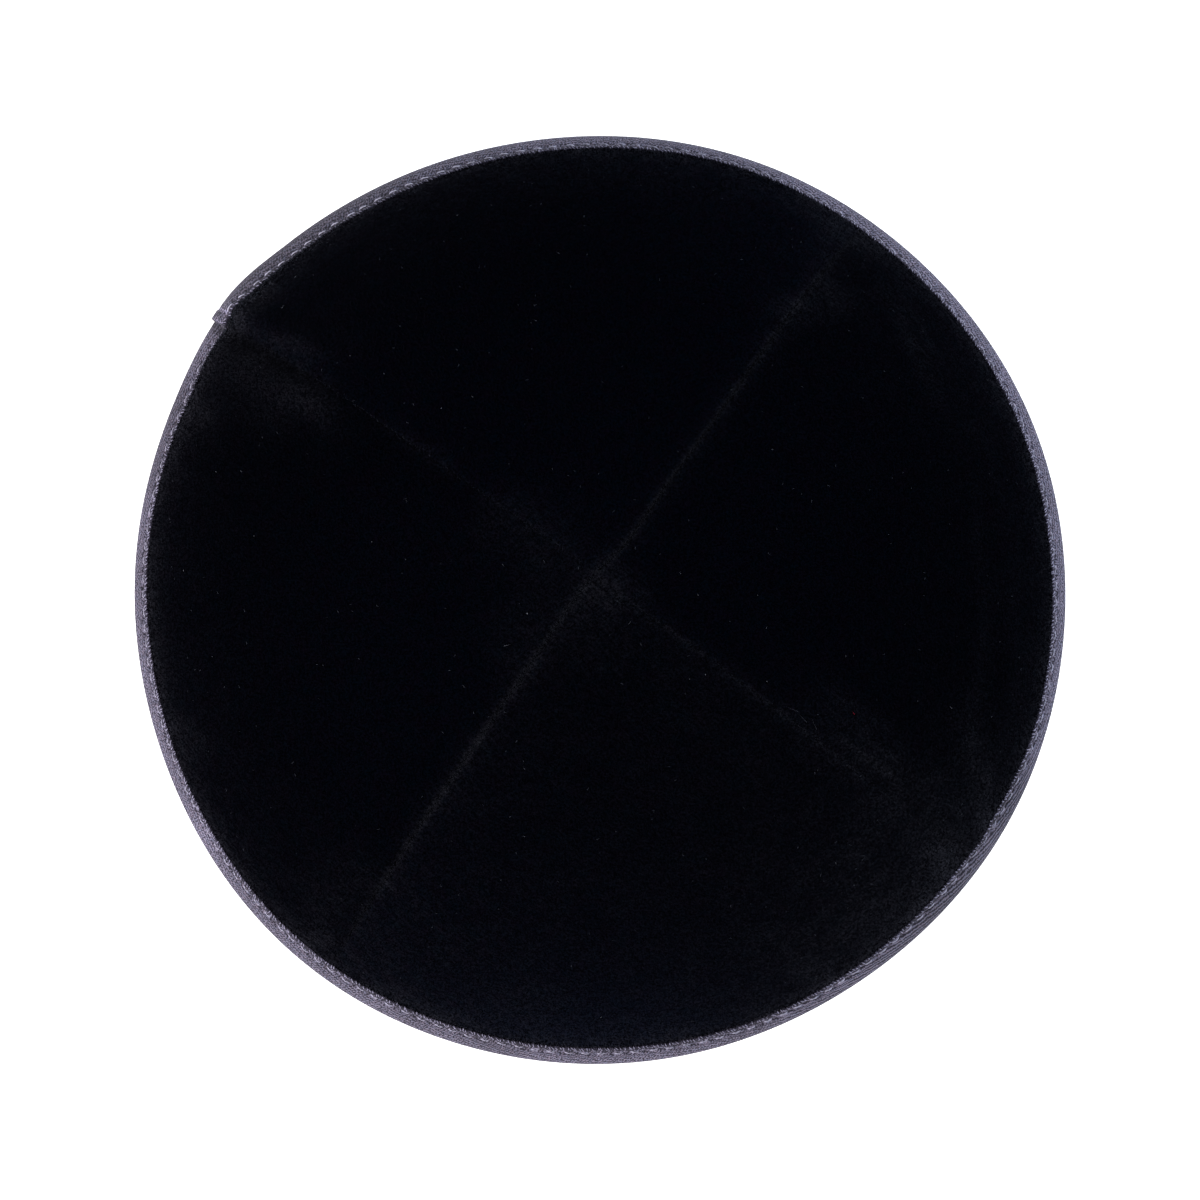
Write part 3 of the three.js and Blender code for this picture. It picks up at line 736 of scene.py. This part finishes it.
# %% [markdown]
# ## The folded tape
# A binding is a strip folded over the raw edge like a hairpin. Its section is a closed outline: up the
# outside leg to the stitched edge, back down beside the cloth, round the cloth's edge and up the inside
# leg. Spinning that outline round the crown makes the ring, and moving each of its points by angle gives
# it the cap's true outline, its uneven width, the dips at the stitches and the raised lap. The steps of the
# spin are drawn together at the lap, where the tape's end is turned under and makes a crisp little stair.

# %% The tape's section and its row of stitches
TAPE_SECTION = [  # up the cloth and out from its face, mm; with 1, up is counted from the tape's edge
    (0.00, -0.30, 0),
    (0.45, 0.14, 0),
    (1.10, 0.30, 0),
    (2.00, 0.38, 0),
    (2.80, 0.40, 0),
    (-1.85, 0.37, 1),
    (-1.35, 0.24, 1),
    (-0.95, 0.26, 1),
    (-0.45, 0.26, 1),
    (-0.08, 0.14, 1),
    (0.00, -0.30, 1),
    (-0.25, -0.60, 1),
    (-1.40, -0.60, 1),
    (2.60, -0.60, 0),
    (1.60, -0.70, 0),
    (1.35, -1.30, 0),
    (1.60, -2.10, 0),
    (2.60, -2.20, 0),
    (5.20, -2.20, 0),
    (5.40, -2.60, 0),
    (5.20, -3.05, 0),
    (3.40, -3.20, 0),
    (1.80, -3.15, 0),
    (0.00, -2.65, 0),
]
LAST_OUTSIDE_ROW = 10
STAND_IN_REACH = 6.0  # the reach that the section has before each angle gets its own
TAPE_STEPS = 1080
STITCHES = 171
STITCH_ROW = [  # angle, and how far the row of stitches lies from the tape's edge, mm
    (0, -1.2), (60, -1.2), (76, -1.42), (105, -1.45), (120, -1.55), (138, -1.35),
    (165, -1.2), (208, -1.2), (225, -1.5), (240, -1.38), (255, -1.55), (270, -1.6),
    (285, -1.48), (300, -1.25), (315, -1.25), (330, -1.6), (345, -1.3),
]
ROW_MEAN = -1.2  # where the section has its groove for the row
section = np.array(TAPE_SECTION)
in_groove = (section[:, 2] == 1) & (section[:, 0] > -1.9) & (section[:, 0] < -0.9) & (section[:, 1] > 0)


def stitch_up(angle):
    """Where the row of stitches runs: it wavers, as a row led by hand does."""
    turns_at, ups_at = np.array(STITCH_ROW).T
    return np.interp(angle, turns_at, ups_at, period=360)


print("points in the section:", len(section), "of them in the groove:", int(in_groove.sum()))

# %% The lap with its turned-under end
FOLD_START, FOLD_RISE = 142.9, 0.12  # in degrees and mm
LAP_CROWDING, LAP_REACH = 0.72, 9.0  # how much the steps of the spin are drawn to the lap, from how far


def lap_profile(angle):
    """The lap's height with its folded end: a groove, then a thicker band, then the stair down."""
    fold = smooth(angle, FOLD_START, FOLD_START + 0.3) * (1 - smooth(angle, LAP_END - 0.12, LAP_END + 0.05))
    groove = np.exp(-(((angle - FOLD_START + 0.15) / 0.22) ** 2))
    stair = lap_height(np.where(angle < LAP_END + 0.06, np.minimum(angle, LAP_END), angle))
    return stair + FOLD_RISE * fold - 0.08 * groove


def drawn_to_lap(angle):
    """Evenly spaced angles drawn together round the lap's end."""
    away = (angle - LAP_END + 180) % 360 - 180
    return (angle - LAP_CROWDING * away * np.exp(-((away / LAP_REACH) ** 2))) % 360


print("highest place of the lap, mm:", round(float(lap_profile(np.arange(LAP_START, LAP_END, 0.1)).max()), 2))

# %% How light the tape is at each place
TAPE_TONES = [  # what, from and to angle, soft ends in degrees, how light it is beside the rest
    ("darker end on top of the lap", 116, LAP_END, 8.0, 0.72),
    ("darker stretch past the lap", 151, 168, 6.0, 0.72),
    ("left side", 172, 208, 6.0, 0.835),
    ("lower left", 214, 260, 10.0, 0.785),
    ("bottom", 268, 292, 8.0, 1.09),
    ("upper right", 8, 92, 8.0, 0.92),
    ("darker stretch at the lower right", 312, 338, 7.0, 0.70),
]
RIBS_FROM, RIBS_TO, RIBS_SOFT = 292, 342, 8  # degrees where the tape's rows stand out as ribs


def tape_tone_with_shade(angle, up_from_edge):
    """How light the tape is at each place: darker and lighter stretches, painted highlights and shadows at
    the lap's folded end, and painted shade in the stitch holes.
    """
    tone = np.ones_like(angle)
    for _, first, last, soft, light in TAPE_TONES:
        sharp = last == LAP_END
        fades = angle < LAP_END if sharp else 1 - smooth(angle, last - soft / 2, last + soft / 2)
        tone = tone * (1 + (light - 1) * smooth(angle, first - soft / 2, first + soft / 2) * fades)
    # Painted light at the lap's folded end: a painted highlight on the fold line and a lighter folded band, a
    # painted highlight along the end's edge, a painted shadow in a pit of the fold and a painted shadow under
    # the end.
    fold_line = np.exp(-(((angle - FOLD_START + 0.1) / 0.2) ** 2))
    fold_back = smooth(angle, FOLD_START, FOLD_START + 0.25) * (angle < LAP_END)
    end_line = np.exp(-(((angle - LAP_END + 0.08) / 0.2) ** 2)) * smooth(up_from_edge, -6.5, -4.0)
    pit = np.exp(-(((angle - FOLD_START - 0.45) / 0.3) ** 2) - ((up_from_edge + 4.6) / 0.8) ** 2)
    under_shade = (angle > LAP_END) * np.exp(-(np.maximum(angle - LAP_END, 0) / 1.3) ** 2)
    tone = tone * (1 + 2.0 * fold_line + 0.35 * fold_back + 1.0 * end_line)
    # Painted shade in the stitch holes, where the thread pulls the tape in.
    holes = (0.5 + 0.5 * np.cos(STITCHES * np.radians(angle))) ** 3
    holes = holes * np.exp(-(((up_from_edge - stitch_up(angle)) / 0.4) ** 2))
    return tone * (1 - 0.85 * pit) * (1 - 0.72 * under_shade) * (1 - 0.45 * holes)


print("tones at left and front:", tape_tone_with_shade(np.array([190.0, 280.0]), np.array([-3.0, -3.0])).round(2))

# %% Spin the section into a ring, and find where each of its points belongs
FAR_FROM_EDGE = 9.0  # what `from_edge` says where the weave isn't loose
DIP_MM = 0.24  # how deep a stitch pulls the tape in
nominal_up = section[:, 0] + STAND_IN_REACH * section[:, 2]
up_steps = np.diff(nominal_up, append=nominal_up[0])
out_steps = np.diff(section[:, 1], append=section[0, 1])
steps_across = np.hypot(up_steps, out_steps)
across_mm = np.concatenate([[0], np.cumsum(steps_across)[:-1]])
bm = bmesh.new()
row_layer = bm.verts.layers.float.new("row")
layers = [bm.verts.layers.float.new(name) for name in ("from_edge", "tone_and_painted_shade", "ribbed")]
tape_uv = bm.loops.layers.uv.new("tape")
ring = bmesh.ops.create_circle(bm, segments=len(section), radius=0.001)
for i, vert in enumerate(ring["verts"]):
    vert.co = Vector((RIM_RADIUS + section[i, 1], 0.0, nominal_up[i]))
    vert[row_layer] = i
bmesh.ops.spin(
    bm, geom=bm.verts[:] + bm.edges[:], cent=(0, 0, 0), axis=(0, 0, 1), angle=2 * np.pi, steps=TAPE_STEPS,
    use_merge=True,
)
rows_of = np.array([round(v[row_layer]) for v in bm.verts])
angles = drawn_to_lap(np.degrees(np.array([np.arctan2(v.co.y, v.co.x) for v in bm.verts])) % 360)
outside = (rows_of <= LAST_OUTSIDE_ROW).astype(float)
section_up, section_out, by_edge = section[rows_of].T
ups = section_up + tape_reach(angles) * by_edge + (stitch_up(angles) - ROW_MEAN) * in_groove[rows_of]
outs = section_out + lap_profile(angles) * outside
turns = np.radians(angles)
dips = 0.5 + 0.5 * np.cos(STITCHES * turns)
frayed = 0.08 * np.sin(91 * turns + 2 * np.sin(17 * turns)) + 0.06 * np.sin(293 * turns)
ups = ups + by_edge * outside * frayed * (section_up > -0.6)
outs = outs - DIP_MM * dips * by_edge * outside * np.exp(-(((section_up - ROW_MEAN) / 0.45) ** 2))
points = cap_point(angles, ups, outs)
foot_slope = np.arccos(-DOME_CENTRE / (DOME_RADIUS + outs))
foot = cap_point(angles, (RIM_SLOPE - foot_slope) * DOME_RADIUS, outs)
on_table = (rows_of == 0) | (rows_of == len(section) - 1)
points = np.where(on_table[:, None], foot, points)
points[:, 2] = np.maximum(points[:, 2], 0.0)
points = to_metres(points)
from_tape_edge = np.where(outside * by_edge > 0, -section_up, FAR_FROM_EDGE)
ribs = smooth(angles, RIBS_FROM - RIBS_SOFT, RIBS_FROM + RIBS_SOFT)
ribs = ribs * (1 - smooth(angles, RIBS_TO - RIBS_SOFT, RIBS_TO + RIBS_SOFT))
tones = np.stack([from_tape_edge, tape_tone_with_shade(angles, ups - tape_reach(angles)), ribs], -1)
print("points in the ring:", len(points))

# %% Move the points there, and lay the weave along the tape
turn_of, width_of = {}, {}
for i, vert in enumerate(bm.verts):
    vert.co = points[i]
    for layer, tone in zip(layers, tones[i]):
        vert[layer] = tone
    turn_of[vert] = angles[i]
    width_of[vert] = across_mm[rows_of[i]]
MM_PER_DEGREE = np.pi * RIM_RADIUS / 180
WHOLE_WIDTH = across_mm[-1] + steps_across[-1]
for face in bm.faces:
    highest_turn = max(turn_of[v] for v in face.verts)
    widest = max(width_of[v] for v in face.verts)
    for loop in face.loops:
        turn, width = turn_of[loop.vert], width_of[loop.vert]
        turn = turn + 360 if highest_turn - turn > 180 else turn
        width = width + WHOLE_WIDTH if widest - width > WHOLE_WIDTH / 2 else width
        loop[tape_uv].uv = (turn * MM_PER_DEGREE, width)
    face.smooth = True
bmesh.ops.recalc_face_normals(bm, faces=bm.faces[:])
tape_mesh = mesh_of("folded_tape", bm)
tape_mesh.materials.append(tape_cloth)
tape = add_object("folded_tape", tape_mesh)
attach(tape, "root")
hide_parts("rim_binding")
print("tape faces:", len(tape_mesh.polygons))

# %% [markdown]
# ## The topstitching
# One row of lockstitch holds the tape, 3.3 mm a stitch. It wavers between 1.2 and 1.6 mm from the tape's
# edge. The thread is two plies twisted round each other, paler than the tape, cleaner on some stretches and
# more soiled on others, and it dives into the cloth at both ends of each stitch. The stitches just past the
# lap are buried under its end. A ply is a small disc spun along its own axis while it goes forward, which
# gives a helix. Two plies make one stitch, and copies of it go round the rim, each slanted its own way.

# %% Helpers for threads and for small pieces that lie on the cap


def plain_thread(name, hex_colour, roughness, specular):
    """A material for things too thin to show more than their colour."""
    material, tree = new_material(name)
    face = add_node(
        tree, "BsdfPrincipled", Base_Color=linear(hex_colour), Roughness=roughness,
        Specular_IOR_Level=specular,
    )
    add_node(tree, "OutputMaterial", Surface=face.outputs["BSDF"])
    return material


def cap_axes(angle, up, out):
    """The place, the way round, the way up the cloth and the way out of it, as vectors in metres."""
    here = to_metres(cap_point(angle, up, out))
    round_way = to_metres(cap_point(angle + 0.05, up, out)) - here
    up_way = to_metres(cap_point(angle, up + 0.05, out)) - here
    round_way = round_way / np.linalg.norm(round_way, axis=-1, keepdims=True)
    up_way = up_way / np.linalg.norm(up_way, axis=-1, keepdims=True)
    out_way = np.cross(round_way, up_way)
    out_way = out_way / np.linalg.norm(out_way, axis=-1, keepdims=True)
    return here, round_way, up_way, out_way


def pose_on_cap(angle, up, out, slant):
    """A matrix that lays a small piece on the cap with its X axis slanted off the way round."""
    here, round_way, up_way, out_way = cap_axes(angle, up, out)
    along = round_way * np.cos(slant) + up_way * np.sin(slant)
    pose = Matrix(np.column_stack([along, np.cross(out_way, along), out_way]).tolist()).to_4x4()
    pose.translation = Vector(here)
    return pose


def copy_round(bm, poses):
    """Copies what the bmesh holds, once for each pose, and deletes the one that was copied."""
    master = bm.verts[:]
    geometry = master + bm.edges[:] + bm.faces[:]
    for pose in poses:
        copied = bmesh.ops.duplicate(bm, geom=geometry)
        verts = [v for v in copied["geom"] if isinstance(v, bmesh.types.BMVert)]
        bmesh.ops.transform(bm, matrix=pose, verts=verts)
    bmesh.ops.delete(bm, geom=master, context="VERTS")
    for face in bm.faces:
        face.smooth = True


def add_piece(name, mesh, material):
    """A piece that only adds to the looks: it rides on the cap and replaces nothing."""
    mesh.materials.clear()
    mesh.materials.append(material)
    piece = add_object(name, mesh)
    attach(piece, "root")
    print(name, "triangles:", sum(len(face.vertices) - 2 for face in mesh.polygons))


print("the way out at the crown:", cap_axes(0, DOME_ARC - 1, 0)[3].round(2))

# %% Build one stitch and set copies round the rim
rng = np.random.default_rng(7)
STITCH_LENGTH, PLY_RADIUS, PLY_OFFSET, PLY_TURNS, PLY_STEPS = 1.8, 0.095, 0.07, 0.9, 14
STITCH_FLAT, STITCH_LIFT, STITCH_DIVE = 0.8, 0.08, 0.32  # pressed flat, laid on the tape, sunk at its ends
BURIED_FROM, BURIED_TO = LAP_END - 0.8, LAP_END + 4.4


def lay_stitches(name, first, last, slant, material):
    """Makes one two-ply stitch and copies it to every stitch place between two angles."""
    bm = bmesh.new()
    for start in (0, np.pi):
        disc_at = Matrix.Rotation(start, 4, "X") @ Matrix.Translation((-STITCH_LENGTH / 2, 0, PLY_OFFSET))
        disc_at = disc_at @ Matrix.Rotation(np.pi / 2, 4, "Y")
        disc = bmesh.ops.create_circle(bm, cap_ends=True, segments=6, radius=PLY_RADIUS, matrix=disc_at)
        faces = list({f for v in disc["verts"] for f in v.link_faces})
        bmesh.ops.spin(
            bm, geom=disc["verts"] + faces, cent=(0, 0, 0), axis=(1, 0, 0), use_duplicate=False,
            dvec=(STITCH_LENGTH / PLY_STEPS, 0, 0), angle=2 * np.pi * PLY_TURNS, steps=PLY_STEPS,
        )
    for vert in bm.verts:
        share = 2 * vert.co.x / STITCH_LENGTH
        vert.co.z = vert.co.z * STITCH_FLAT + STITCH_LIFT - STITCH_DIVE * share**4
        vert.co = vert.co / 1000
    bmesh.ops.recalc_face_normals(bm, faces=bm.faces[:])
    poses = []
    for i in range(STITCHES):
        angle = (i + 0.5) * 360 / STITCHES + rng.normal(0, 0.10)
        if first <= angle < last and not BURIED_FROM < angle < BURIED_TO:
            up = float(tape_reach(angle)) + float(stitch_up(angle)) + rng.normal(0, 0.09)
            out = 0.2 + float(lap_profile(angle))
            poses.append(pose_on_cap(angle, up, out, np.radians(slant + rng.normal(0, 5))))
    copy_round(bm, poses)
    add_piece(name, mesh_of(name, bm), material)


clean_thread = plain_thread("clean_violet_cotton_thread", "#a8a5bb", 0.8, 0.2)
pale_thread = plain_thread("pale_violet_cotton_thread", "#9592a7", 0.8, 0.2)
soiled_thread = plain_thread("soiled_violet_cotton_thread", "#8d8a9e", 0.8, 0.2)
STRETCHES = [  # name, from and to angle, slant in degrees, thread
    ("stitches_right", 0, 92, -4, soiled_thread),
    ("stitches_upper_left", 92, 146, -10, clean_thread),
    ("stitches_left", 146, 214, -4, soiled_thread),
    ("stitches_front", 214, 304, -4, pale_thread),
    ("stitches_lower_right", 304, 360, -4, soiled_thread),
]
for stretch in STRETCHES:
    lay_stitches(*stretch)

# %% [markdown]
# ## The tape's loose edge
# Beyond the stitches the tape's cut edge has opened: the short threads that ran across it lie slanted side
# by side like a low fringe, with dark gaps between. Each is a plump little bar. They are all one mesh.

# %% Build the short edge threads
EDGE_THREADS = 760
BAR_LONG, BAR_THICK, BAR_DROOP = 0.52, 0.12, 0.08  # half its length and thickness, and its ends' droop
edge_thread = plain_thread("grey_violet_edge_thread", "#7f7b92", 0.9, 0.1)
bm = bmesh.new()
lying = Matrix.Rotation(np.pi / 2, 4, "Y")
made = bmesh.ops.create_uvsphere(bm, u_segments=6, v_segments=6, radius=1.0, matrix=lying)
for vert in made["verts"]:
    x, y, z = vert.co
    vert.co = Vector((x * BAR_LONG, y * BAR_THICK, z * BAR_THICK - BAR_DROOP * x**2)) / 1000
poses = []
for i in range(EDGE_THREADS):
    angle = (i + rng.normal(0, 0.22)) * 360 / EDGE_THREADS
    up = float(tape_reach(angle)) - 0.42 + rng.normal(0, 0.10)
    length = rng.uniform(0.75, 1.15)
    slant = np.radians(118 + rng.normal(0, 14))
    pose = pose_on_cap(angle, up, 0.2 + float(lap_profile(angle)) + rng.normal(0, 0.03), slant)
    poses.append(pose @ Matrix.Diagonal((length, 1, 1, 1)))
copy_round(bm, poses)
add_piece("edge_threads", mesh_of("edge_threads", bm), edge_thread)

# %% [markdown]
# ## Tufts and loose fibres
# Up close, velvet's edges are never sharp: tufts of pile lean over the tape's edge, stand along the open
# seams and blur the outline of the cap. Each tuft is one thin spike. Geometry Nodes puts a copy of it on
# every point of a cloud of places, turned and stretched by that point's own attributes, and the result is
# made into one real mesh.

# %% The tuft spreader
bm = bmesh.new()
on_its_foot = Matrix.Translation((0, 0, 0.5))
bmesh.ops.create_cone(bm, cap_ends=True, segments=3, radius1=1.0, radius2=0.0, depth=1.0, matrix=on_its_foot)
spike = bpy.data.objects.new("one_spike", mesh_of("one_spike", bm))

spreader = bpy.data.node_groups.new("spread_tufts", "GeometryNodeTree")
for way in ("INPUT", "OUTPUT"):
    spreader.interface.new_socket("Geometry", in_out=way, socket_type="NodeSocketGeometry")
places = add_node(spreader, "NodeGroupInput").outputs[0]
lean, stretch = (
    add_node(
        spreader, "GeometryNodeInputNamedAttribute", {"data_type": "FLOAT_VECTOR"}, Name=name
    ).outputs["Attribute"]
    for name in ("lean", "stretch")
)
turn_to = add_node(
    spreader, "FunctionNodeAlignRotationToVector", {"axis": "Z"}, Vector=lean
).outputs["Rotation"]
one = add_node(spreader, "GeometryNodeObjectInfo", Object=spike).outputs["Geometry"]
copies = add_node(
    spreader, "GeometryNodeInstanceOnPoints", Points=places, Instance=one, Rotation=turn_to, Scale=stretch
).outputs["Instances"]
real = add_node(spreader, "GeometryNodeRealizeInstances", Geometry=copies).outputs["Geometry"]
add_node(spreader, "NodeGroupOutput", Geometry=real)
print("nodes in the spreader:", len(spreader.nodes))

# %% Grow tufts, and what they are made of


def grow_tufts(name, places, directions, lengths, thickness, material):
    """One mesh of spikes: places in metres, lengths and thickness in mm."""
    cloud = bpy.data.meshes.new(name)
    cloud.vertices.add(len(places))
    cloud.vertices.foreach_set("co", np.asarray(places, np.float32).ravel())
    sizes = np.stack([np.broadcast_to(thickness, lengths.shape)] * 2 + [lengths], -1) / 1000
    for attribute, vectors in (("lean", directions), ("stretch", sizes)):
        values = cloud.attributes.new(attribute, "FLOAT_VECTOR", "POINT")
        values.data.foreach_set("vector", np.asarray(vectors, np.float32).ravel())
    seed = add_object(name, cloud)
    spread = seed.modifiers.new("spread", "NODES")
    spread.node_group = spreader
    grown = bpy.data.meshes.new_from_object(seed.evaluated_get(bpy.context.evaluated_depsgraph_get()))
    bpy.data.objects.remove(seed)
    grown.name = name
    add_piece(name, grown, material)


def plain_fibre(name, hex_colour):
    return plain_thread(name, hex_colour, 1.0, 0.0)


dark_pile = plain_fibre("dark_cotton_pile", "#050509")
# The opened and the worn pile are paler copies of the dark pile: partly their own colour, partly a painted
# sheen on the seams and along the rim.
opened_and_sheen_pile = plain_fibre("opened_cotton_pile_painted_sheen", "#1c1d24")
worn_and_sheen_pile = plain_fibre("worn_cotton_pile_painted_sheen", "#2c2c36")
tape_fluff = plain_fibre("tape_fluff", "#57536a")
grey_lint = plain_fibre("grey_lint", "#32343d")
white_lint = plain_fibre("white_lint", "#565862")
red_lint = plain_fibre("red_lint", "#580e1b")
print("materials so far:", len(bpy.data.materials))

# %% [markdown]
# ## Where the tufts stand
# Dark tufts hang over the tape's inner edge, all round the rim, mixed with paler ones whose colour is partly
# worn pile and partly a painted sheen. Paler ones stand across the seams, where the folded cloth opens its
# pile; their colour also carries a painted sheen. A thin scatter over each panel softens the cap's outline
# from the side.
# Fine grey fluff frays from the edge of the tape, and more of it lies over the lap.

# %% Tufts over the tape's edge
LEFT_SIDE, LEFT_WIDTH = 150, 38  # degrees


def left_side(angle):
    return np.exp(-(((angle - LEFT_SIDE) / LEFT_WIDTH) ** 4))


def rim_tufts(name, count, lengths, material, skip):
    """Tufts over the tape's edge, fewer on the left side by the share `skip`, and worn short there."""
    angle = rng.uniform(0, 360, count)
    angle = angle[rng.uniform(0, 1, count) > skip * left_side(angle)]
    count = len(angle)
    worn_short = 1 - 0.45 * left_side(angle)
    up = tape_reach(angle) + rng.uniform(0.15, 1.5, count)
    out = np.where(up < tape_reach(angle) + 1.0, -0.55, -0.1) + lap_height(angle) * 0.5
    here, round_way, up_way, out_way = cap_axes(angle, up, out)
    down = -up_way * rng.uniform(0.3, 0.9, (count, 1))
    directions = down + out_way * rng.uniform(0.5, 1.0, (count, 1))
    directions = directions + round_way * rng.normal(0, 0.35, (count, 1))
    lengths = rng.uniform(*lengths, count) * worn_short
    grow_tufts(name, here, directions, lengths, 0.11, material)


rim_tufts("rim_pile", 3900, (0.6, 1.15), dark_pile, 0.85)
# The paler tufts all round the rim carry a painted sheen as well as worn pile.
rim_tufts("worn_rim_pile", 5900, (0.6, 1.05), worn_and_sheen_pile, 0.0)

# %% Tufts along the seams
COUNT = 2400
seam_tufts = []
for seam, share in ((54.4, 1.0), (234.4, 1.0), (143.8, 0.09), (323.8, 0.1)):
    n = int(COUNT * share)
    up = rng.uniform(7.5, DOME_ARC - 0.6, n)
    radius = DOME_RADIUS * np.sin(RIM_SLOPE - up / DOME_RADIUS)
    off = rng.normal(0, 0.24, n)
    angle = seam_angle(seam, up) + np.degrees(off / np.maximum(radius, 0.8))
    here, round_way, up_way, out_way = cap_axes(angle, up, -0.32)
    directions = out_way + round_way * (-np.sign(off)[:, None] * 0.35 + rng.normal(0, 0.3, (n, 1)))
    directions = directions + up_way * rng.normal(0, 0.35, (n, 1))
    seam_tufts.append((here, directions, rng.uniform(0.45, 0.85, n)))
here, directions, lengths = (np.concatenate(rows) for rows in zip(*seam_tufts))
grow_tufts("seam_pile", here, directions, lengths, 0.09, opened_and_sheen_pile)

# %% The scatter over each panel
COUNT = 16000
for panel in PANELS:
    across = rng.uniform(0.01, 0.99, COUNT * 2)
    height = rng.uniform(0.03, 0.995, COUNT * 2)
    angle, up, from_first, from_last = panel_places(panel, across, height)
    density = (0.5 + height) * (1 - COLUMN_CROWDING * np.cos(2 * np.pi * across))
    density = density * np.sin(RIM_SLOPE - up / DOME_RADIUS)
    keep = np.flatnonzero(rng.uniform(0, density.max(), COUNT * 2) < density)[:COUNT]
    angle, up, from_seam = angle[keep], up[keep], np.minimum(from_first, from_last)[keep]
    face_out, _ = wall_faces(angle, up, from_seam)
    here, round_way, up_way, out_way = cap_axes(angle, up, face_out - 0.05)
    n = len(angle)
    directions = out_way * 0.8 - up_way * rng.uniform(0.2, 0.8, (n, 1))
    directions = directions + round_way * rng.normal(0, 0.35, (n, 1))
    grow_tufts("pile_" + panel[0], here, directions, rng.uniform(0.35, 0.7, n), 0.10, dark_pile)

# %% Fluff on the tape's edge
COUNT = 2600
angle = rng.uniform(0, 360, COUNT)
up = tape_reach(angle) - rng.uniform(-0.05, 0.35, COUNT)
here, round_way, up_way, out_way = cap_axes(angle, up, 0.22 + lap_height(angle))
directions = up_way * rng.uniform(0.2, 1.0, (COUNT, 1)) + out_way * rng.uniform(0.1, 0.7, (COUNT, 1))
directions = directions + round_way * rng.normal(0, 0.6, (COUNT, 1))
grow_tufts("tape_fluff", here, directions, rng.uniform(0.25, 0.75, COUNT), 0.035, tape_fluff)

# %% Fluff over the inner edge of the lap, where the thick tape is rubbed most
COUNT = 1500
angle = LAP_FULL + 9 * rng.normal(0, 1, COUNT)
up = tape_reach(angle) + rng.exponential(0.55, COUNT) - 0.3
here, round_way, up_way, out_way = cap_axes(angle, up, 0.30 + 0.5 * lap_height(angle))
directions = up_way * rng.uniform(-0.2, 1.0, (COUNT, 1)) + out_way * rng.uniform(0.0, 0.5, (COUNT, 1))
directions = directions + round_way * rng.normal(0, 0.7, (COUNT, 1))
grow_tufts("lap_fluff", here, directions, rng.uniform(0.35, 0.95, COUNT), 0.045, grey_lint)

# %% [markdown]
# ## Lint
# Black velvet picks up every speck. A few bits are bright enough to be seen at once, one is a red thread
# end, and some hundreds of tiny grey ones and a few dozen white ones, smaller still, are strewn over the
# whole cap. Each is a short spike lying on the pile.

# %% Lay the bits that show most
LINT = [  # angle, up, length and thickness in mm, the way it points (degrees from the way round)
    (209.6, 93.3, 0.32, 0.12, 20), (348.8, 88.3, 0.25, 0.07, 60), (312.0, 81.8, 0.25, 0.07, 10),
    (328.4, 70.2, 0.30, 0.06, 80), (162.0, 30.7, 0.30, 0.07, 40), (137.2, 41.7, 0.30, 0.07, 90),
    (132.1, 64.4, 0.32, 0.08, 30), (171.9, 37.3, 0.28, 0.06, 70), (133.7, 13.4, 0.40, 0.06, 10),
    (160.4, 9.2, 0.90, 0.08, 10), (340.8, 30.9, 0.80, 0.08, 70), (218.0, 86.4, 1.30, 0.045, 65),
    (303.8, 96.7, 0.90, 0.035, 20), (177.2, 18.0, 0.40, 0.07, 30), (270.4, 15.1, 0.40, 0.06, 50),
]
FAINT_LINT = [
    (326.4, 62.0, 2.6, 0.025, 100), (325.6, 59.5, 2.6, 0.025, 82), (325.6, 57.0, 2.6, 0.025, 66),
    (313.8, 29.3, 1.2, 0.04, 20), (314.6, 29.8, 1.0, 0.04, 120), (307.4, 32.8, 1.2, 0.04, 50),
]
RED_LINT = [(332.4, 51.8, 0.9, 0.09, 70)]


def strew(name, rows, material):
    angle, up, length, thickness, points_to = np.array(rows, float).T
    here, round_way, up_way, out_way = cap_axes(angle, up, 0.18)
    turn = np.radians(points_to)[:, None]
    directions = round_way * np.cos(turn) + up_way * np.sin(turn) + out_way * 0.12
    grow_tufts(name, here, directions, length, thickness, material)


strew("white_lint", LINT, white_lint)
strew("faint_lint", FAINT_LINT, grey_lint)
strew("red_lint", RED_LINT, red_lint)

# %% Strew the tiny specks
SPECKS, WHITE_SPECKS = 340, 44
LOWEST_SPECK, WHITE_SIZE = 9, 0.7
strewn = []
while len(strewn) < SPECKS:
    x, y = rng.uniform(-DOME_ARC, DOME_ARC, 2)
    up = DOME_ARC - np.hypot(x, y)
    if up > LOWEST_SPECK:
        length, thickness, points_to = rng.uniform(0.25, 0.7), rng.uniform(0.035, 0.065), rng.uniform(0, 360)
        strewn.append((np.degrees(np.arctan2(y, x)), up, length, thickness, points_to))
strew("grey_lint", strewn[WHITE_SPECKS:], grey_lint)
smaller = np.array([1, 1, WHITE_SIZE, WHITE_SIZE, 1])
strew("small_white_lint", np.array(strewn[:WHITE_SPECKS]) * smaller, white_lint)
